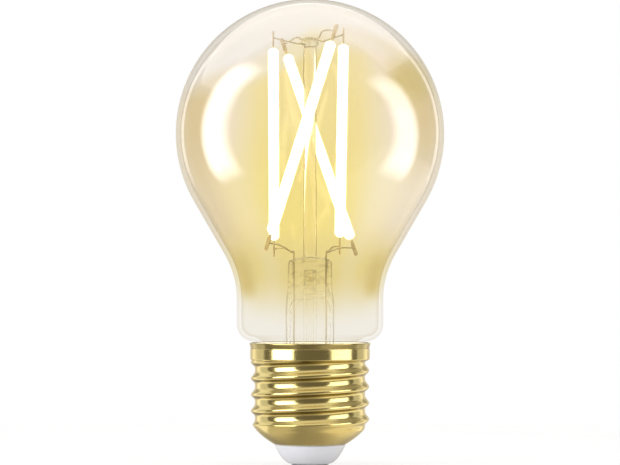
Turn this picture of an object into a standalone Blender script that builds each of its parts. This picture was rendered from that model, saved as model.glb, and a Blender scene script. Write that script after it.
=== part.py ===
"""Amber LED filament bulb with a screw cap and a radio driver in the cap.

Metres, +Z up along the bulb's axis. The origin is the middle of the centre contact's flat underside.
The front of the bulb faces -Y.
"""

import math

import bmesh
import bpy
from mathutils import Matrix, Vector

# Driving sizes of the envelope
BULB_RADIUS = 0.030
BULB_CENTRE_Z = 0.0748
CONE_HALF_ANGLE = math.radians(30)
NECK_RADIUS = 0.01635
NECK_FILLET = 0.020
SHOULDER_RADIUS = 0.0038
SHOULDER_Z = 0.0324
TAIL_RADIUS = 0.0116
TAIL_TOP_Z = 0.0278
TAIL_BOTTOM_Z = 0.0244
GLASS_WALL = 0.0010
POLE_RING_ANGLE = math.radians(84)
SHOULDER_STEPS = 5
FILLET_STEPS = 4
GLOBE_STEPS = 13

# Driving sizes of the cap, an Edison screw of 27 mm
THREAD_PITCH = 0.00362
THREAD_CREST = 0.01322
THREAD_ROOT = 0.0123
THREAD_PHASE_Z = 0.01485
ROWS_PER_TURN = 6
SHELL_WALL = 0.00035
SHELL_TOP_Z = 0.0283
SHELL_BOTTOM_Z = 0.0058
SHELL_BOTTOM_RADIUS = 0.0083
CONE_SLOPE = 1.09
CONE_HEIGHT = 0.0042
CONE_BULGE = 0.00025
COLLAR_RADIUS = 0.01335
COLLAR_RIM = 0.0135
COLLAR_EDGE_Z = 0.0243
COLLAR_STEP = 0.0008
RIM_HEIGHT = 0.0016
RIM_ROUND = 0.0004
INSULATOR_HOLE = 0.0012
INSULATOR_FOOT = (0.0052, 0.0015)
INSULATOR_BELLY = (0.0070, 0.0035)
INSULATOR_SEAT_RADIUS = 0.0080
INSULATOR_FLANGE_Z = (0.0066, 0.0080)
CONTACT_RADIUS = 0.0043
CONTACT_FLAT = 0.0032
CONTACT_EDGE_Z = 0.0005
CONTACT_TOP_Z = 0.00095
CONTACT_PIN = 0.0008
CONTACT_PIN_TOP_Z = 0.0084
CONTACT_SIDES = 24
CEMENT_BOTTOM_Z = 0.0256
CEMENT_TOP_Z = 0.0279

# Driving sizes of the filament cage
FILAMENT_COUNT = 4
FILAMENT_LENGTH = 0.0442
FILAMENT_RADIUS = 0.00126
FILAMENT_BORE = 0.00085
CAGE_TOP_RADIUS = 0.0089
CAGE_BOTTOM_RADIUS = 0.0114
CAGE_TOP_Z = 0.0943
CAGE_BOTTOM_Z = 0.0521
CAGE_TOP_ANGLE = math.radians(-58.6)
CAGE_TWIST = math.radians(-81)
CAGE_SHIFT_X = -0.0004
# Hand assembly leaves the ends of the filaments slightly out of place: front, right, back, left.
HEAD_SHIFTS = (
    (0.0005, 0.0, 0.0004),
    (0.0003, -0.0022, 0.0009),
    (-0.0003, 0.0, -0.0005),
    (-0.0001, -0.0005, -0.0009),
)
FOOT_SHIFTS = (
    (0.0005, 0.0, 0.0004),
    (-0.0004, 0.0022, -0.0004),
    (0.0011, 0.0, -0.0008),
    (-0.0004, 0.0005, -0.0006),
)
STRIP_WIDTH = 0.0009
STRIP_THICK = 0.0003
DIE_COUNT = 14
DIE_HEIGHT = 0.00012
TAB_WIDTH = 0.0009
TAB_THICK = 0.0002
TAB_LENGTH = 0.0037
FILAMENT_ROUND = 0.0004
WIRE_RADIUS = 0.00018
UPPER_WELD = 0.0024
LOWER_WELD = 0.0022
# Each support wire leaves the bead at its own side, lift and depth, and rises by its own arch.
SUPPORT_ROOTS = (
    (1, 0.0009, -0.0012, 0.0014),
    (1, 0.0006, 0.0008, -0.0002),
    (-1, 0.0009, 0.0010, 0.0004),
    (-1, -0.0003, -0.0008, 0.0),
)
SUPPORT_KNEE = 0.0007
SUPPORT_CREST_SHARE = 0.25

# Driving sizes of the glass stem
STEM_RADIUS = 0.00545
STEM_WALL = 0.0008
STEM_FLARE_RADIUS = 0.0100
STEM_FLARE_Z = 0.0246
STEM_FLARE_HEIGHT = 0.0034
STEM_SIDES = 20
STEM_FLARE_STEPS = 4
# Half width, half depth and height of the rings that close the tube into the pinch, outside and inside.
STEM_SHUT_OUTER = (0.0052, 0.0034, 0.0388)
STEM_SHUT_INNER = (0.0040, 0.0022, 0.0390)
STEM_ROUND_TOP_Z = 0.0360
PINCH_HALF_WIDTH = 0.00495
PINCH_HALF_DEPTH = 0.0021
PINCH_FULL_Z = 0.0412
PINCH_TOP_Z = 0.0475
PINCH_ROUND = 0.0012
PINCH_SAG = 0.0006
PINCH_ROUND_ANGLES = (0.0, math.radians(45), math.radians(81))
ROD_RADIUS = 0.0014
ROD_TOP_Z = 0.0938
BUTTON_RADIUS = 0.0020
BUTTON_HEIGHT = 0.0024
BUTTON_ROUND = 0.0006
BUTTON_SIDES = 16
EXHAUST_RADIUS = 0.00145
EXHAUST_BORE = 0.00085
EXHAUST_BOTTOM_Z = 0.0235
EXHAUST_TOP_Z = 0.0445
VENT_RADIUS = 0.0011
VENT_Z = 0.0437
DRILL_BOTTOM_Z = 0.0350
DRILL_TOP_Z = 0.0500
LEAD_X = 0.0036
LEAD_Y = 0.00105
LEAD_FOOT_Z = 0.0210
LEAD_BEND_HEIGHT = 0.0011
LEAD_BEND_REACH = 0.0010
LEAD_ARCH = 0.0005

# Driving sizes of the driver inside the cap
SLEEVE_RADIUS = 0.0116
SLEEVE_WALL = 0.0006
SLEEVE_BOTTOM_Z = 0.0104
SLEEVE_TOP_Z = 0.0232
BOARD_WIDTH = 0.0190
BOARD_THICK = 0.0010
BOARD_BOTTOM_Z = 0.0094
BOARD_TOP_Z = 0.0224
CHIP_X = -0.0062
CHIP_BEVEL = 0.0003
RECTIFIER_SIZE = (0.0046, 0.0022, 0.0038)
RECTIFIER_Z = 0.0125
DRIVER_CHIP_SIZE = (0.0048, 0.0015, 0.0038)
DRIVER_CHIP_Z = 0.0182
RADIO_SIZE = (0.0100, 0.0008, 0.0096)
RADIO_X = 0.0032
RADIO_Z = 0.0154
SHIELD_SIZE = (0.0080, 0.0016, 0.0066)
SHIELD_Z = 0.0146
ROUND_PART_SIDES = 20
ROUND_PART_BOTTOM_Z = 0.0108
CAPACITOR_X = -0.0045
CAPACITOR_RADIUS = 0.0031
CAPACITOR_LENGTH = 0.0090
CAPACITOR_CRIMP = 0.0004
INDUCTOR_X = 0.0050
INDUCTOR_RADIUS = 0.0027
INDUCTOR_HEIGHT = 0.0052
INDUCTOR_FLANGE = 0.0009
INDUCTOR_WAIST = 0.0012
WINDING_RADIUS = 0.0025
RESISTOR_RADIUS = 0.0012
RESISTOR_WAIST = 0.0010
RESISTOR_CAP = 0.0010
RESISTOR_TAPER = 0.0014
RESISTOR_LENGTH = 0.0046
RESISTOR_X = 0.0005
RESISTOR_Z = 0.0130
AERIAL_RADIUS = 0.00016

# Routes of the driver's leads
CONTACT_LEAD_START = ((0, 0, 0.0088), (0.0001, -0.0012, 0.0102))
CONTACT_LEAD_BEND_Z = 0.0116
# Up the edge of the board, over the sleeve and across to the shell.
SHELL_ROUTE = ((0.0100, 0, 0.0206), (0.0101, 0, 0.0226), (0.0108, 0, 0.0238), (0.0116, 0, 0.0238))
# From the radio board up behind a lead inside the stem's tube, above the metal of the cap.
AERIAL_ROUTE = ((0.0054, 0.00125, 0.0206), (0.0050, 0.0018, 0.0232), (0.0036, 0.0021, 0.0266))
AERIAL_ROUTE += ((0.0036, 0.0021, 0.0310), (0.0036, 0.0021, 0.0352))

GAP = 0.0003
TURNED_SIDES = 32
SMALL_SIDES = 12
DRILL_SIDES = 8
SMOOTH_BELOW = math.radians(35)


def clear_scene():
    for item in list(bpy.data.objects):
        bpy.data.objects.remove(item, do_unlink=True)


def finish(name, colour, roughness, metallic=0.0, transmission=0.0, glow=0.0):
    material = bpy.data.materials.new(name)
    material.use_nodes = True
    shader = material.node_tree.nodes["Principled BSDF"]
    shader.inputs["Base Color"].default_value = (*colour, 1.0)
    shader.inputs["Roughness"].default_value = roughness
    shader.inputs["Metallic"].default_value = metallic
    shader.inputs["Transmission Weight"].default_value = transmission
    shader.inputs["Emission Color"].default_value = (*colour, 1.0)
    shader.inputs["Emission Strength"].default_value = glow
    return material


def place(name, mesh, material, parent, location=(0, 0, 0), rotation=None):
    """Adds a named piece with its material, shaded smooth apart from its sharp edges."""
    piece = bpy.data.objects.new(name, mesh)
    bpy.context.scene.collection.objects.link(piece)
    if not mesh.materials:
        mesh.materials.append(material)
    mesh.shade_smooth()
    mesh.set_sharp_from_angle(angle=SMOOTH_BELOW)
    piece.parent = parent
    piece.location = location
    if rotation is not None:
        piece.rotation_mode = "QUATERNION"
        piece.rotation_quaternion = rotation
    return piece


def mesh_from(name, shape):
    bmesh.ops.remove_doubles(shape, verts=shape.verts, dist=1e-7)
    bmesh.ops.recalc_face_normals(shape, faces=shape.faces)
    mesh = bpy.data.meshes.new(name)
    shape.to_mesh(mesh)
    shape.free()
    return mesh


def arc(centre, radius, start, end, steps):
    """Points (r, z) on an arc, with angles in radians measured from the +r direction."""
    points = []
    for step in range(steps + 1):
        angle = start + (end - start) * step / steps
        points.append((centre[0] + radius * math.cos(angle), centre[1] + radius * math.sin(angle)))
    return points


def ring_points(radius, height, sides):
    points = []
    for side in range(sides):
        angle = 2 * math.pi * side / sides
        points.append(Vector((radius * math.cos(angle), radius * math.sin(angle), height)))
    return points


def lofted(name, rings, closed=False):
    """One skin over rings of points, joined end to end when closed, or capped at both ends."""
    shape = bmesh.new()
    loops = [[shape.verts.new(point) for point in ring] for ring in rings]
    spans = len(loops) if closed else len(loops) - 1
    for index in range(spans):
        below = loops[index]
        above = loops[(index + 1) % len(loops)]
        for side in range(len(below)):
            after = (side + 1) % len(below)
            shape.faces.new((below[side], below[after], above[after], above[side]))
    if not closed:
        shape.faces.new(loops[0])
        shape.faces.new(loops[-1])
    return mesh_from(name, shape)


def turned(name, profile, sides=TURNED_SIDES, hollow=False):
    """A turned piece from an outline (r, z): closed round a hole when hollow, or else capped."""
    rings = [ring_points(radius, height, sides) for radius, height in profile]
    return lofted(name, rings, closed=hollow)


def block(name, size, bevel=0.0):
    shape = bmesh.new()
    bmesh.ops.create_cube(shape, size=1.0)
    bmesh.ops.scale(shape, vec=size, verts=shape.verts)
    if bevel:
        bmesh.ops.bevel(shape, geom=shape.edges[:], offset=bevel, segments=1, affect="EDGES")
    return mesh_from(name, shape)


def smooth_route(points, per_span=4):
    """Points on a Catmull-Rom curve through a route's own points."""
    route = [Vector(point) for point in points]
    padded = [2 * route[0] - route[1]] + route + [2 * route[-1] - route[-2]]
    result = []
    for index in range(len(route) - 1):
        p0, p1, p2, p3 = padded[index : index + 4]
        for step in range(per_span):
            t = step / per_span
            slope = (p2 - p0) * t
            bend = (2 * p0 - 5 * p1 + 4 * p2 - p3) * t**2
            twist = (3 * p1 - p0 - 3 * p2 + p3) * t**3
            result.append(0.5 * (2 * p1 + slope + bend + twist))
    result.append(route[-1])
    return result


def wire(name, route, material, parent, radius=WIRE_RADIUS):
    """A round wire with flat ends along a smooth curve through its route."""
    points = smooth_route(route)
    curve = bpy.data.curves.new(name, "CURVE")
    curve.dimensions = "3D"
    spline = curve.splines.new("POLY")
    spline.points.add(len(points) - 1)
    for slot, point in zip(spline.points, points):
        slot.co = (*point, 1.0)
    curve.bevel_depth = radius
    curve.bevel_resolution = 1
    curve.use_fill_caps = True
    curve.materials.append(material)
    piece = bpy.data.objects.new(name, curve)
    bpy.context.scene.collection.objects.link(piece)
    piece.parent = parent
    return piece


def cut(piece, name, mesh, parent, location=(0, 0, 0), rotation=None):
    """Takes a helper's shape out of a piece."""
    helper = place(name, mesh, None, parent, location, rotation)
    helper.hide_render = True
    helper.display_type = "WIRE"
    modifier = piece.modifiers.new(name, "BOOLEAN")
    modifier.operation = "DIFFERENCE"
    modifier.solver = "EXACT"
    modifier.object = helper


def envelope_outline(inset):
    """The envelope's outline from its tail to its pole, moved inwards by the inset."""
    radius = BULB_RADIUS - inset
    tangent_z = BULB_CENTRE_Z - BULB_RADIUS * math.sin(CONE_HALF_ANGLE)
    tangent_r = BULB_RADIUS * math.cos(CONE_HALF_ANGLE)
    corner_z = tangent_z - (tangent_r - NECK_RADIUS) / math.tan(CONE_HALF_ANGLE)
    fillet_z = corner_z - NECK_FILLET * math.tan(CONE_HALF_ANGLE / 2)
    fillet = (NECK_RADIUS + NECK_FILLET, fillet_z)
    shoulder = (NECK_RADIUS - SHOULDER_RADIUS, SHOULDER_Z)
    tail = TAIL_RADIUS - inset
    outline = [(tail, TAIL_BOTTOM_Z), (tail, TAIL_TOP_Z + inset)]
    outline += arc(shoulder, SHOULDER_RADIUS - inset, -math.pi / 2, 0, SHOULDER_STEPS)
    outline += arc(fillet, NECK_FILLET + inset, math.pi, math.pi - CONE_HALF_ANGLE, FILLET_STEPS)
    outline += arc((0, BULB_CENTRE_Z), radius, -CONE_HALF_ANGLE, POLE_RING_ANGLE, GLOBE_STEPS)
    return outline


def envelope_mesh():
    outer = [ring_points(r, z, TURNED_SIDES) for r, z in envelope_outline(0.0)]
    inner = [ring_points(r, z, TURNED_SIDES) for r, z in envelope_outline(GLASS_WALL)]
    shape = bmesh.new()
    skins = []
    for rings, pole in ((outer, BULB_RADIUS), (inner, BULB_RADIUS - GLASS_WALL)):
        loops = [[shape.verts.new(point) for point in ring] for ring in rings]
        tip = shape.verts.new((0, 0, BULB_CENTRE_Z + pole))
        for below, above in zip(loops, loops[1:]):
            for side in range(TURNED_SIDES):
                after = (side + 1) % TURNED_SIDES
                shape.faces.new((below[side], below[after], above[after], above[side]))
        for side in range(TURNED_SIDES):
            shape.faces.new((loops[-1][side], loops[-1][(side + 1) % TURNED_SIDES], tip))
        skins.append(loops[0])
    for side in range(TURNED_SIDES):
        after = (side + 1) % TURNED_SIDES
        shape.faces.new((skins[0][side], skins[0][after], skins[1][after], skins[1][side]))
    return mesh_from("glass_envelope", shape)


def cone_radius(height):
    """Outer radius of the slightly bulged cone at the foot of the shell."""
    rise = height - SHELL_BOTTOM_Z
    along = min(max(rise / CONE_HEIGHT, 0.0), 1.0)
    return SHELL_BOTTOM_RADIUS + rise * CONE_SLOPE + 4 * CONE_BULGE * along * (1 - along)


def shell_radius(angle, height):
    """Outer radius of the rolled shell: a rounded helical thread between the collar and the cone."""
    turns = (height - THREAD_PHASE_Z) / THREAD_PITCH - angle / (2 * math.pi)
    wave = 0.5 + 0.5 * math.cos(2 * math.pi * turns)
    thread = THREAD_ROOT + (THREAD_CREST - THREAD_ROOT) * wave
    blend = min(max((height - COLLAR_EDGE_Z) / COLLAR_STEP + 0.5, 0.0), 1.0)
    collar = THREAD_ROOT + (COLLAR_RADIUS - THREAD_ROOT) * blend
    return min(cone_radius(height), max(collar, thread))


def shell_rings(inset):
    """Rings of the shell from its lower edge to its rim, moved inwards by the inset."""
    rim_foot_z = SHELL_TOP_Z - RIM_HEIGHT
    rows = []
    step = THREAD_PITCH / ROWS_PER_TURN
    count = int((COLLAR_EDGE_Z + step - SHELL_BOTTOM_Z) / step)
    for row in range(count + 1):
        rows.append((SHELL_BOTTOM_Z + row * step, None))
    rows += [(rim_foot_z, COLLAR_RADIUS), (rim_foot_z + RIM_ROUND, COLLAR_RIM)]
    rows += [(SHELL_TOP_Z - RIM_ROUND, COLLAR_RIM), (SHELL_TOP_Z, COLLAR_RADIUS)]
    rings = []
    for height, radius in rows:
        ring = []
        for side in range(TURNED_SIDES):
            angle = 2 * math.pi * side / TURNED_SIDES
            reach = (radius or shell_radius(angle, height)) - inset
            ring.append(Vector((reach * math.cos(angle), reach * math.sin(angle), height)))
        rings.append(ring)
    return rings


def insulator_outline():
    """The insulator's closed outline: a bowl round the contact, with a flange held inside the shell."""
    foot_z = CONTACT_TOP_Z + GAP
    seat_z = SHELL_BOTTOM_Z - GAP
    neck = SHELL_BOTTOM_RADIUS - SHELL_WALL - 1.5 * GAP
    outline = [(INSULATOR_HOLE, foot_z), (CONTACT_RADIUS, foot_z), INSULATOR_FOOT, INSULATOR_BELLY]
    outline += [(INSULATOR_SEAT_RADIUS, seat_z), (neck, seat_z), (neck, SHELL_BOTTOM_Z + GAP)]
    # The flange follows the inside of the shell's cone.
    for height in INSULATOR_FLANGE_Z:
        outline.append((cone_radius(height) - SHELL_WALL - 1.5 * GAP, height))
    outline.append((INSULATOR_HOLE, INSULATOR_FLANGE_Z[-1]))
    return outline


def contact_outline():
    outline = [(CONTACT_FLAT, 0.0), (CONTACT_RADIUS, CONTACT_EDGE_Z), (CONTACT_RADIUS, CONTACT_TOP_Z)]
    return outline + [(CONTACT_PIN, CONTACT_TOP_Z), (CONTACT_PIN, CONTACT_PIN_TOP_Z)]


def add_cap(root):
    brass = finish("brass", (0.72, 0.55, 0.24), 0.2, metallic=1.0)
    white = finish("white_insulator", (0.80, 0.79, 0.83), 0.35)
    nickel = finish("contact_metal", (0.55, 0.55, 0.57), 0.35, metallic=1.0)
    cement = finish("basing_cement", (0.62, 0.60, 0.55), 0.9)
    rings = shell_rings(0.0) + shell_rings(SHELL_WALL)[::-1]
    place("screw_shell", lofted("screw_shell", rings, closed=True), brass, root)
    insulator = turned("cap_insulator", insulator_outline(), hollow=True)
    place("cap_insulator", insulator, white, root)
    contact = turned("centre_contact", contact_outline(), CONTACT_SIDES)
    place("centre_contact", contact, nickel, root)
    inner = TAIL_RADIUS + GAP
    outer = COLLAR_RADIUS - SHELL_WALL - GAP
    outline = [(inner, CEMENT_BOTTOM_Z), (outer, CEMENT_BOTTOM_Z)]
    outline += [(outer, CEMENT_TOP_Z), (inner, CEMENT_TOP_Z)]
    place("basing_cement", turned("basing_cement", outline, hollow=True), cement, root)


def stem_ring(half_width, half_depth, height, sag=0.0):
    """A ring that is round where its halves are equal and a rounded slab where they are not."""
    squareness = 2 + 3 * (1 - half_depth / half_width)
    points = []
    for side in range(STEM_SIDES):
        angle = 2 * math.pi * side / STEM_SIDES
        x, y = math.cos(angle), math.sin(angle)
        x = math.copysign(abs(x) ** (2 / squareness), x)
        y = math.copysign(abs(y) ** (2 / squareness), y)
        points.append(Vector((half_width * x, half_depth * y, height - sag * x * x)))
    return points


def stem_rings(inset):
    """The stem's skin from the flared rim up to where it is pinched shut."""
    straight_z = STEM_FLARE_Z + STEM_FLARE_HEIGHT
    rings = []
    for step in range(STEM_FLARE_STEPS):
        angle = math.pi / 2 * step / STEM_FLARE_STEPS
        reach = STEM_RADIUS + (STEM_FLARE_RADIUS - STEM_RADIUS) * (1 - math.sin(angle))
        height = STEM_FLARE_Z + (straight_z - STEM_FLARE_Z) * (1 - math.cos(angle))
        rings.append(stem_ring(reach - inset, reach - inset, height))
    rings.append(stem_ring(STEM_RADIUS - inset, STEM_RADIUS - inset, straight_z))
    rings.append(stem_ring(STEM_RADIUS - inset, STEM_RADIUS - inset, STEM_ROUND_TOP_Z))
    return rings


def add_stem(root, clear):
    outer = stem_rings(0.0)
    outer.append(stem_ring(*STEM_SHUT_OUTER))
    outer.append(stem_ring(PINCH_HALF_WIDTH, PINCH_HALF_DEPTH, PINCH_FULL_Z))
    for turn in PINCH_ROUND_ANGLES:
        shrink = PINCH_ROUND * (1 - math.cos(turn))
        height = PINCH_TOP_Z - PINCH_ROUND * (1 - math.sin(turn))
        outer.append(stem_ring(PINCH_HALF_WIDTH - shrink, PINCH_HALF_DEPTH - shrink, height, PINCH_SAG))
    inner = stem_rings(STEM_WALL)
    inner.append(stem_ring(*STEM_SHUT_INNER))
    mesh = lofted("stem_flare", outer[::-1] + inner)
    stem = place("stem_flare", mesh, clear, root)
    reach = WIRE_RADIUS + GAP
    drill = turned("lead_drill", [(reach, DRILL_BOTTOM_Z), (reach, DRILL_TOP_Z)], DRILL_SIDES)
    for index, (x, y) in enumerate(lead_places()):
        cut(stem, f"lead_drill_{index + 1}", drill, root, location=(x, y, 0))
    reach = EXHAUST_RADIUS + GAP
    socket = [(reach, DRILL_BOTTOM_Z), (reach, EXHAUST_TOP_Z + GAP)]
    cut(stem, "exhaust_socket", turned("exhaust_socket", socket, SMALL_SIDES), root)
    vent = turned("vent_drill", [(VENT_RADIUS, 0), (VENT_RADIUS, STEM_RADIUS)], SMALL_SIDES)
    to_front = Vector((0, -1, 0)).to_track_quat("Z", "Y")
    cut(stem, "vent_drill", vent, root, location=(0, 0, VENT_Z), rotation=to_front)
    pipe = [(EXHAUST_BORE, EXHAUST_BOTTOM_Z), (EXHAUST_RADIUS, EXHAUST_BOTTOM_Z)]
    pipe += [(EXHAUST_RADIUS, EXHAUST_TOP_Z), (EXHAUST_BORE, EXHAUST_TOP_Z)]
    place("exhaust_tube", turned("exhaust_tube", pipe, SMALL_SIDES, hollow=True), clear, root)
    foot = PINCH_TOP_Z + GAP
    rod = [(ROD_RADIUS, foot), (ROD_RADIUS, ROD_TOP_Z)]
    place("centre_rod", turned("centre_rod", rod, SMALL_SIDES), clear, root)
    middle = ROD_TOP_Z + GAP + BUTTON_HEIGHT / 2
    half = BUTTON_HEIGHT / 2
    lip = BUTTON_RADIUS - BUTTON_ROUND
    bead = [(lip, middle - half), (BUTTON_RADIUS, middle - half + BUTTON_ROUND)]
    bead += [(BUTTON_RADIUS, middle + half - BUTTON_ROUND), (lip, middle + half)]
    place("rod_button", turned("rod_button", bead, BUTTON_SIDES), clear, root)


def lead_places():
    """Where the four leads stand in the pinch: front filament, right, back, left."""
    return ((-LEAD_X, -LEAD_Y), (LEAD_X, -LEAD_Y), (LEAD_X, LEAD_Y), (-LEAD_X, LEAD_Y))


def filament_ends(index):
    """Top and bottom of one filament's coating, in a cage that is twisted about the axis."""
    turn = index * 2 * math.pi / FILAMENT_COUNT
    top = CAGE_TOP_ANGLE + turn
    bottom = top + CAGE_TWIST
    upper = CAGE_TOP_RADIUS * Vector((math.cos(top), math.sin(top), 0))
    lower = CAGE_BOTTOM_RADIUS * Vector((math.cos(bottom), math.sin(bottom), 0))
    upper += Vector((CAGE_SHIFT_X, 0, CAGE_TOP_Z)) + Vector(HEAD_SHIFTS[index])
    lower += Vector((CAGE_SHIFT_X, 0, CAGE_BOTTOM_Z)) + Vector(FOOT_SHIFTS[index])
    middle = (upper + lower) / 2
    reach = (upper - lower).normalized() * FILAMENT_LENGTH / 2
    return middle + reach, middle - reach


def filament_turn(index):
    """The turn that lays local +Z along a filament, with local +X pointing away from the axis."""
    upper, lower = filament_ends(index)
    along = (upper - lower).normalized()
    middle = (upper + lower) / 2
    outward = Vector((middle.x, middle.y, 0))
    outward = (outward - outward.dot(along) * along).normalized()
    return Matrix((outward, along.cross(outward), along)).transposed().to_quaternion()


def strip_mesh(length):
    """The carrier strip with its row of light-emitting dies standing on its outer face."""
    half = length / 2
    back, front = -STRIP_THICK / 2, STRIP_THICK / 2
    pitch = length / (DIE_COUNT + 1)
    edge = [(back, -half), (front, -half)]
    for die in range(DIE_COUNT):
        middle = -half + pitch * (die + 1)
        low, high = middle - pitch / 4, middle + pitch / 4
        edge += [(front, low), (front + DIE_HEIGHT, low), (front + DIE_HEIGHT, high), (front, high)]
    edge += [(front, half), (back, half)]
    rings = []
    for side in (-STRIP_WIDTH / 2, STRIP_WIDTH / 2):
        rings.append([Vector((x, side, z)) for x, z in edge])
    return lofted("led_strip", rings)


def add_filaments(root):
    phosphor = finish("phosphor_glow", (1.0, 0.86, 0.52), 0.5, glow=2.0)
    strip_finish = finish("led_strip", (0.75, 0.74, 0.70), 0.4)
    steel = finish("tab_steel", (0.42, 0.36, 0.28), 0.4, metallic=1.0)
    half = FILAMENT_LENGTH / 2
    lip = FILAMENT_RADIUS - FILAMENT_ROUND
    sleeve = [(FILAMENT_BORE, -half), (lip, -half), (FILAMENT_RADIUS, FILAMENT_ROUND - half)]
    sleeve += [(FILAMENT_RADIUS, half - FILAMENT_ROUND), (lip, half), (FILAMENT_BORE, half)]
    coating = turned("filament_coating", sleeve, SMALL_SIDES, hollow=True)
    strip = strip_mesh(FILAMENT_LENGTH - GAP)
    tab = block("filament_tab", (TAB_THICK, TAB_WIDTH, TAB_LENGTH))
    reach = half + GAP + TAB_LENGTH / 2
    for index in range(FILAMENT_COUNT):
        upper, lower = filament_ends(index)
        turn = filament_turn(index)
        middle = (upper + lower) / 2
        along = (upper - lower).normalized()
        name = f"filament_{index + 1}"
        place(f"{name}_coating", coating, phosphor, root, middle, turn)
        place(f"{name}_led_strip", strip, strip_finish, root, middle, turn)
        place(f"{name}_upper_tab", tab, steel, root, middle + reach * along, turn)
        place(f"{name}_lower_tab", tab, steel, root, middle - reach * along, turn)


def tab_weld(index, upper_end, from_end):
    """The point where a wire's end meets the inner face of a tab, that far from the coating's end."""
    upper, lower = filament_ends(index)
    along = (upper - lower).normalized()
    inward = filament_turn(index) @ Vector((-1, 0, 0))
    end = upper + from_end * along if upper_end else lower - from_end * along
    return end + inward * (TAB_THICK / 2 + WIRE_RADIUS + GAP / 2)


def add_wires(root):
    nickel = finish("lead_wire", (0.50, 0.42, 0.32), 0.35, metallic=1.0)
    bead_z = ROD_TOP_Z + GAP + BUTTON_HEIGHT / 2
    stand_off = BUTTON_RADIUS + GAP
    for index, (side, lift, depth, arch) in enumerate(SUPPORT_ROOTS):
        weld = tab_weld(index, True, UPPER_WELD)
        start = Vector((side * math.sqrt(stand_off**2 - depth**2), depth, bead_z + lift))
        knee = start + Vector((side * SUPPORT_KNEE, 0, arch))
        crest = knee.lerp(weld, 0.5) + Vector((0, 0, arch * SUPPORT_CREST_SHARE))
        wire(f"support_wire_{index + 1}", (start, knee, crest, weld), nickel, root)
    for index, (x, y) in enumerate(lead_places()):
        weld = tab_weld(index, False, LOWER_WELD)
        out = Vector((weld.x - x, weld.y - y, 0)).normalized()
        foot = Vector((x, y, LEAD_FOOT_Z))
        shin = Vector((x, y, STEM_ROUND_TOP_Z))
        leave = Vector((x, y, PINCH_TOP_Z))
        bend = Vector((x, y, PINCH_TOP_Z + LEAD_BEND_HEIGHT)) + LEAD_BEND_REACH * out
        crest = bend.lerp(weld, 0.5) + Vector((0, 0, LEAD_ARCH))
        route = (foot, shin, leave, bend, crest, weld)
        wire(f"lead_wire_{index + 1}", route, nickel, root)


def add_board_parts(root):
    green = finish("circuit_board", (0.05, 0.22, 0.10), 0.5)
    black = finish("chip_black", (0.03, 0.03, 0.032), 0.5)
    tin = finish("shield_tin", (0.62, 0.62, 0.62), 0.35, metallic=1.0)
    middle_z = (BOARD_BOTTOM_Z + BOARD_TOP_Z) / 2
    size = (BOARD_WIDTH, BOARD_THICK, BOARD_TOP_Z - BOARD_BOTTOM_Z)
    place("driver_board", block("driver_board", size), green, root, (0, 0, middle_z))
    face = BOARD_THICK / 2 + GAP
    chips = (
        ("bridge_rectifier", RECTIFIER_SIZE, RECTIFIER_Z),
        ("driver_chip", DRIVER_CHIP_SIZE, DRIVER_CHIP_Z),
    )
    for name, size, z in chips:
        chip = block(name, size, bevel=CHIP_BEVEL)
        place(name, chip, black, root, (CHIP_X, face + size[1] / 2, z))
    radio_y = face + RADIO_SIZE[1] / 2
    place("radio_board", block("radio_board", RADIO_SIZE), green, root, (RADIO_X, radio_y, RADIO_Z))
    shield_y = face + RADIO_SIZE[1] + GAP + SHIELD_SIZE[1] / 2
    shield = block("radio_shield", SHIELD_SIZE, bevel=CHIP_BEVEL)
    place("radio_shield", shield, tin, root, (RADIO_X, shield_y, SHIELD_Z))


def add_round_parts(root):
    sleeve_black = finish("capacitor_sleeve", (0.04, 0.05, 0.09), 0.4)
    ferrite = finish("ferrite", (0.10, 0.10, 0.11), 0.7)
    copper = finish("copper_winding", (0.62, 0.28, 0.12), 0.35, metallic=1.0)
    ceramic = finish("resistor_body", (0.30, 0.42, 0.50), 0.5)
    front = -(BOARD_THICK / 2 + GAP)
    lip = CAPACITOR_RADIUS - CAPACITOR_CRIMP
    can = [(lip, 0), (CAPACITOR_RADIUS, CAPACITOR_CRIMP)]
    can += [(CAPACITOR_RADIUS, CAPACITOR_LENGTH - CAPACITOR_CRIMP), (lip, CAPACITOR_LENGTH)]
    can_place = (CAPACITOR_X, front - CAPACITOR_RADIUS, ROUND_PART_BOTTOM_Z)
    can_mesh = turned("bulk_capacitor", can, ROUND_PART_SIDES)
    place("bulk_capacitor", can_mesh, sleeve_black, root, can_place)
    low, high = INDUCTOR_FLANGE, INDUCTOR_HEIGHT - INDUCTOR_FLANGE
    core = [(INDUCTOR_RADIUS, 0), (INDUCTOR_RADIUS, low), (INDUCTOR_WAIST, low), (INDUCTOR_WAIST, high)]
    core += [(INDUCTOR_RADIUS, high), (INDUCTOR_RADIUS, INDUCTOR_HEIGHT)]
    core_place = (INDUCTOR_X, front - INDUCTOR_RADIUS, ROUND_PART_BOTTOM_Z)
    core_mesh = turned("inductor_core", core, ROUND_PART_SIDES)
    place("inductor_core", core_mesh, ferrite, root, core_place)
    inner, low, high = INDUCTOR_WAIST + GAP, low + GAP, high - GAP
    winding = [(inner, low), (WINDING_RADIUS, low), (WINDING_RADIUS, high), (inner, high)]
    coil = turned("inductor_winding", winding, ROUND_PART_SIDES, hollow=True)
    place("inductor_winding", coil, copper, root, core_place)
    body = [(RESISTOR_RADIUS, 0), (RESISTOR_RADIUS, RESISTOR_CAP), (RESISTOR_WAIST, RESISTOR_TAPER)]
    body += [(radius, RESISTOR_LENGTH - height) for radius, height in reversed(body)]
    body_place = (RESISTOR_X, front - RESISTOR_RADIUS, RESISTOR_Z)
    place("fusible_resistor", turned("fusible_resistor", body, SMALL_SIDES), ceramic, root, body_place)


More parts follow.
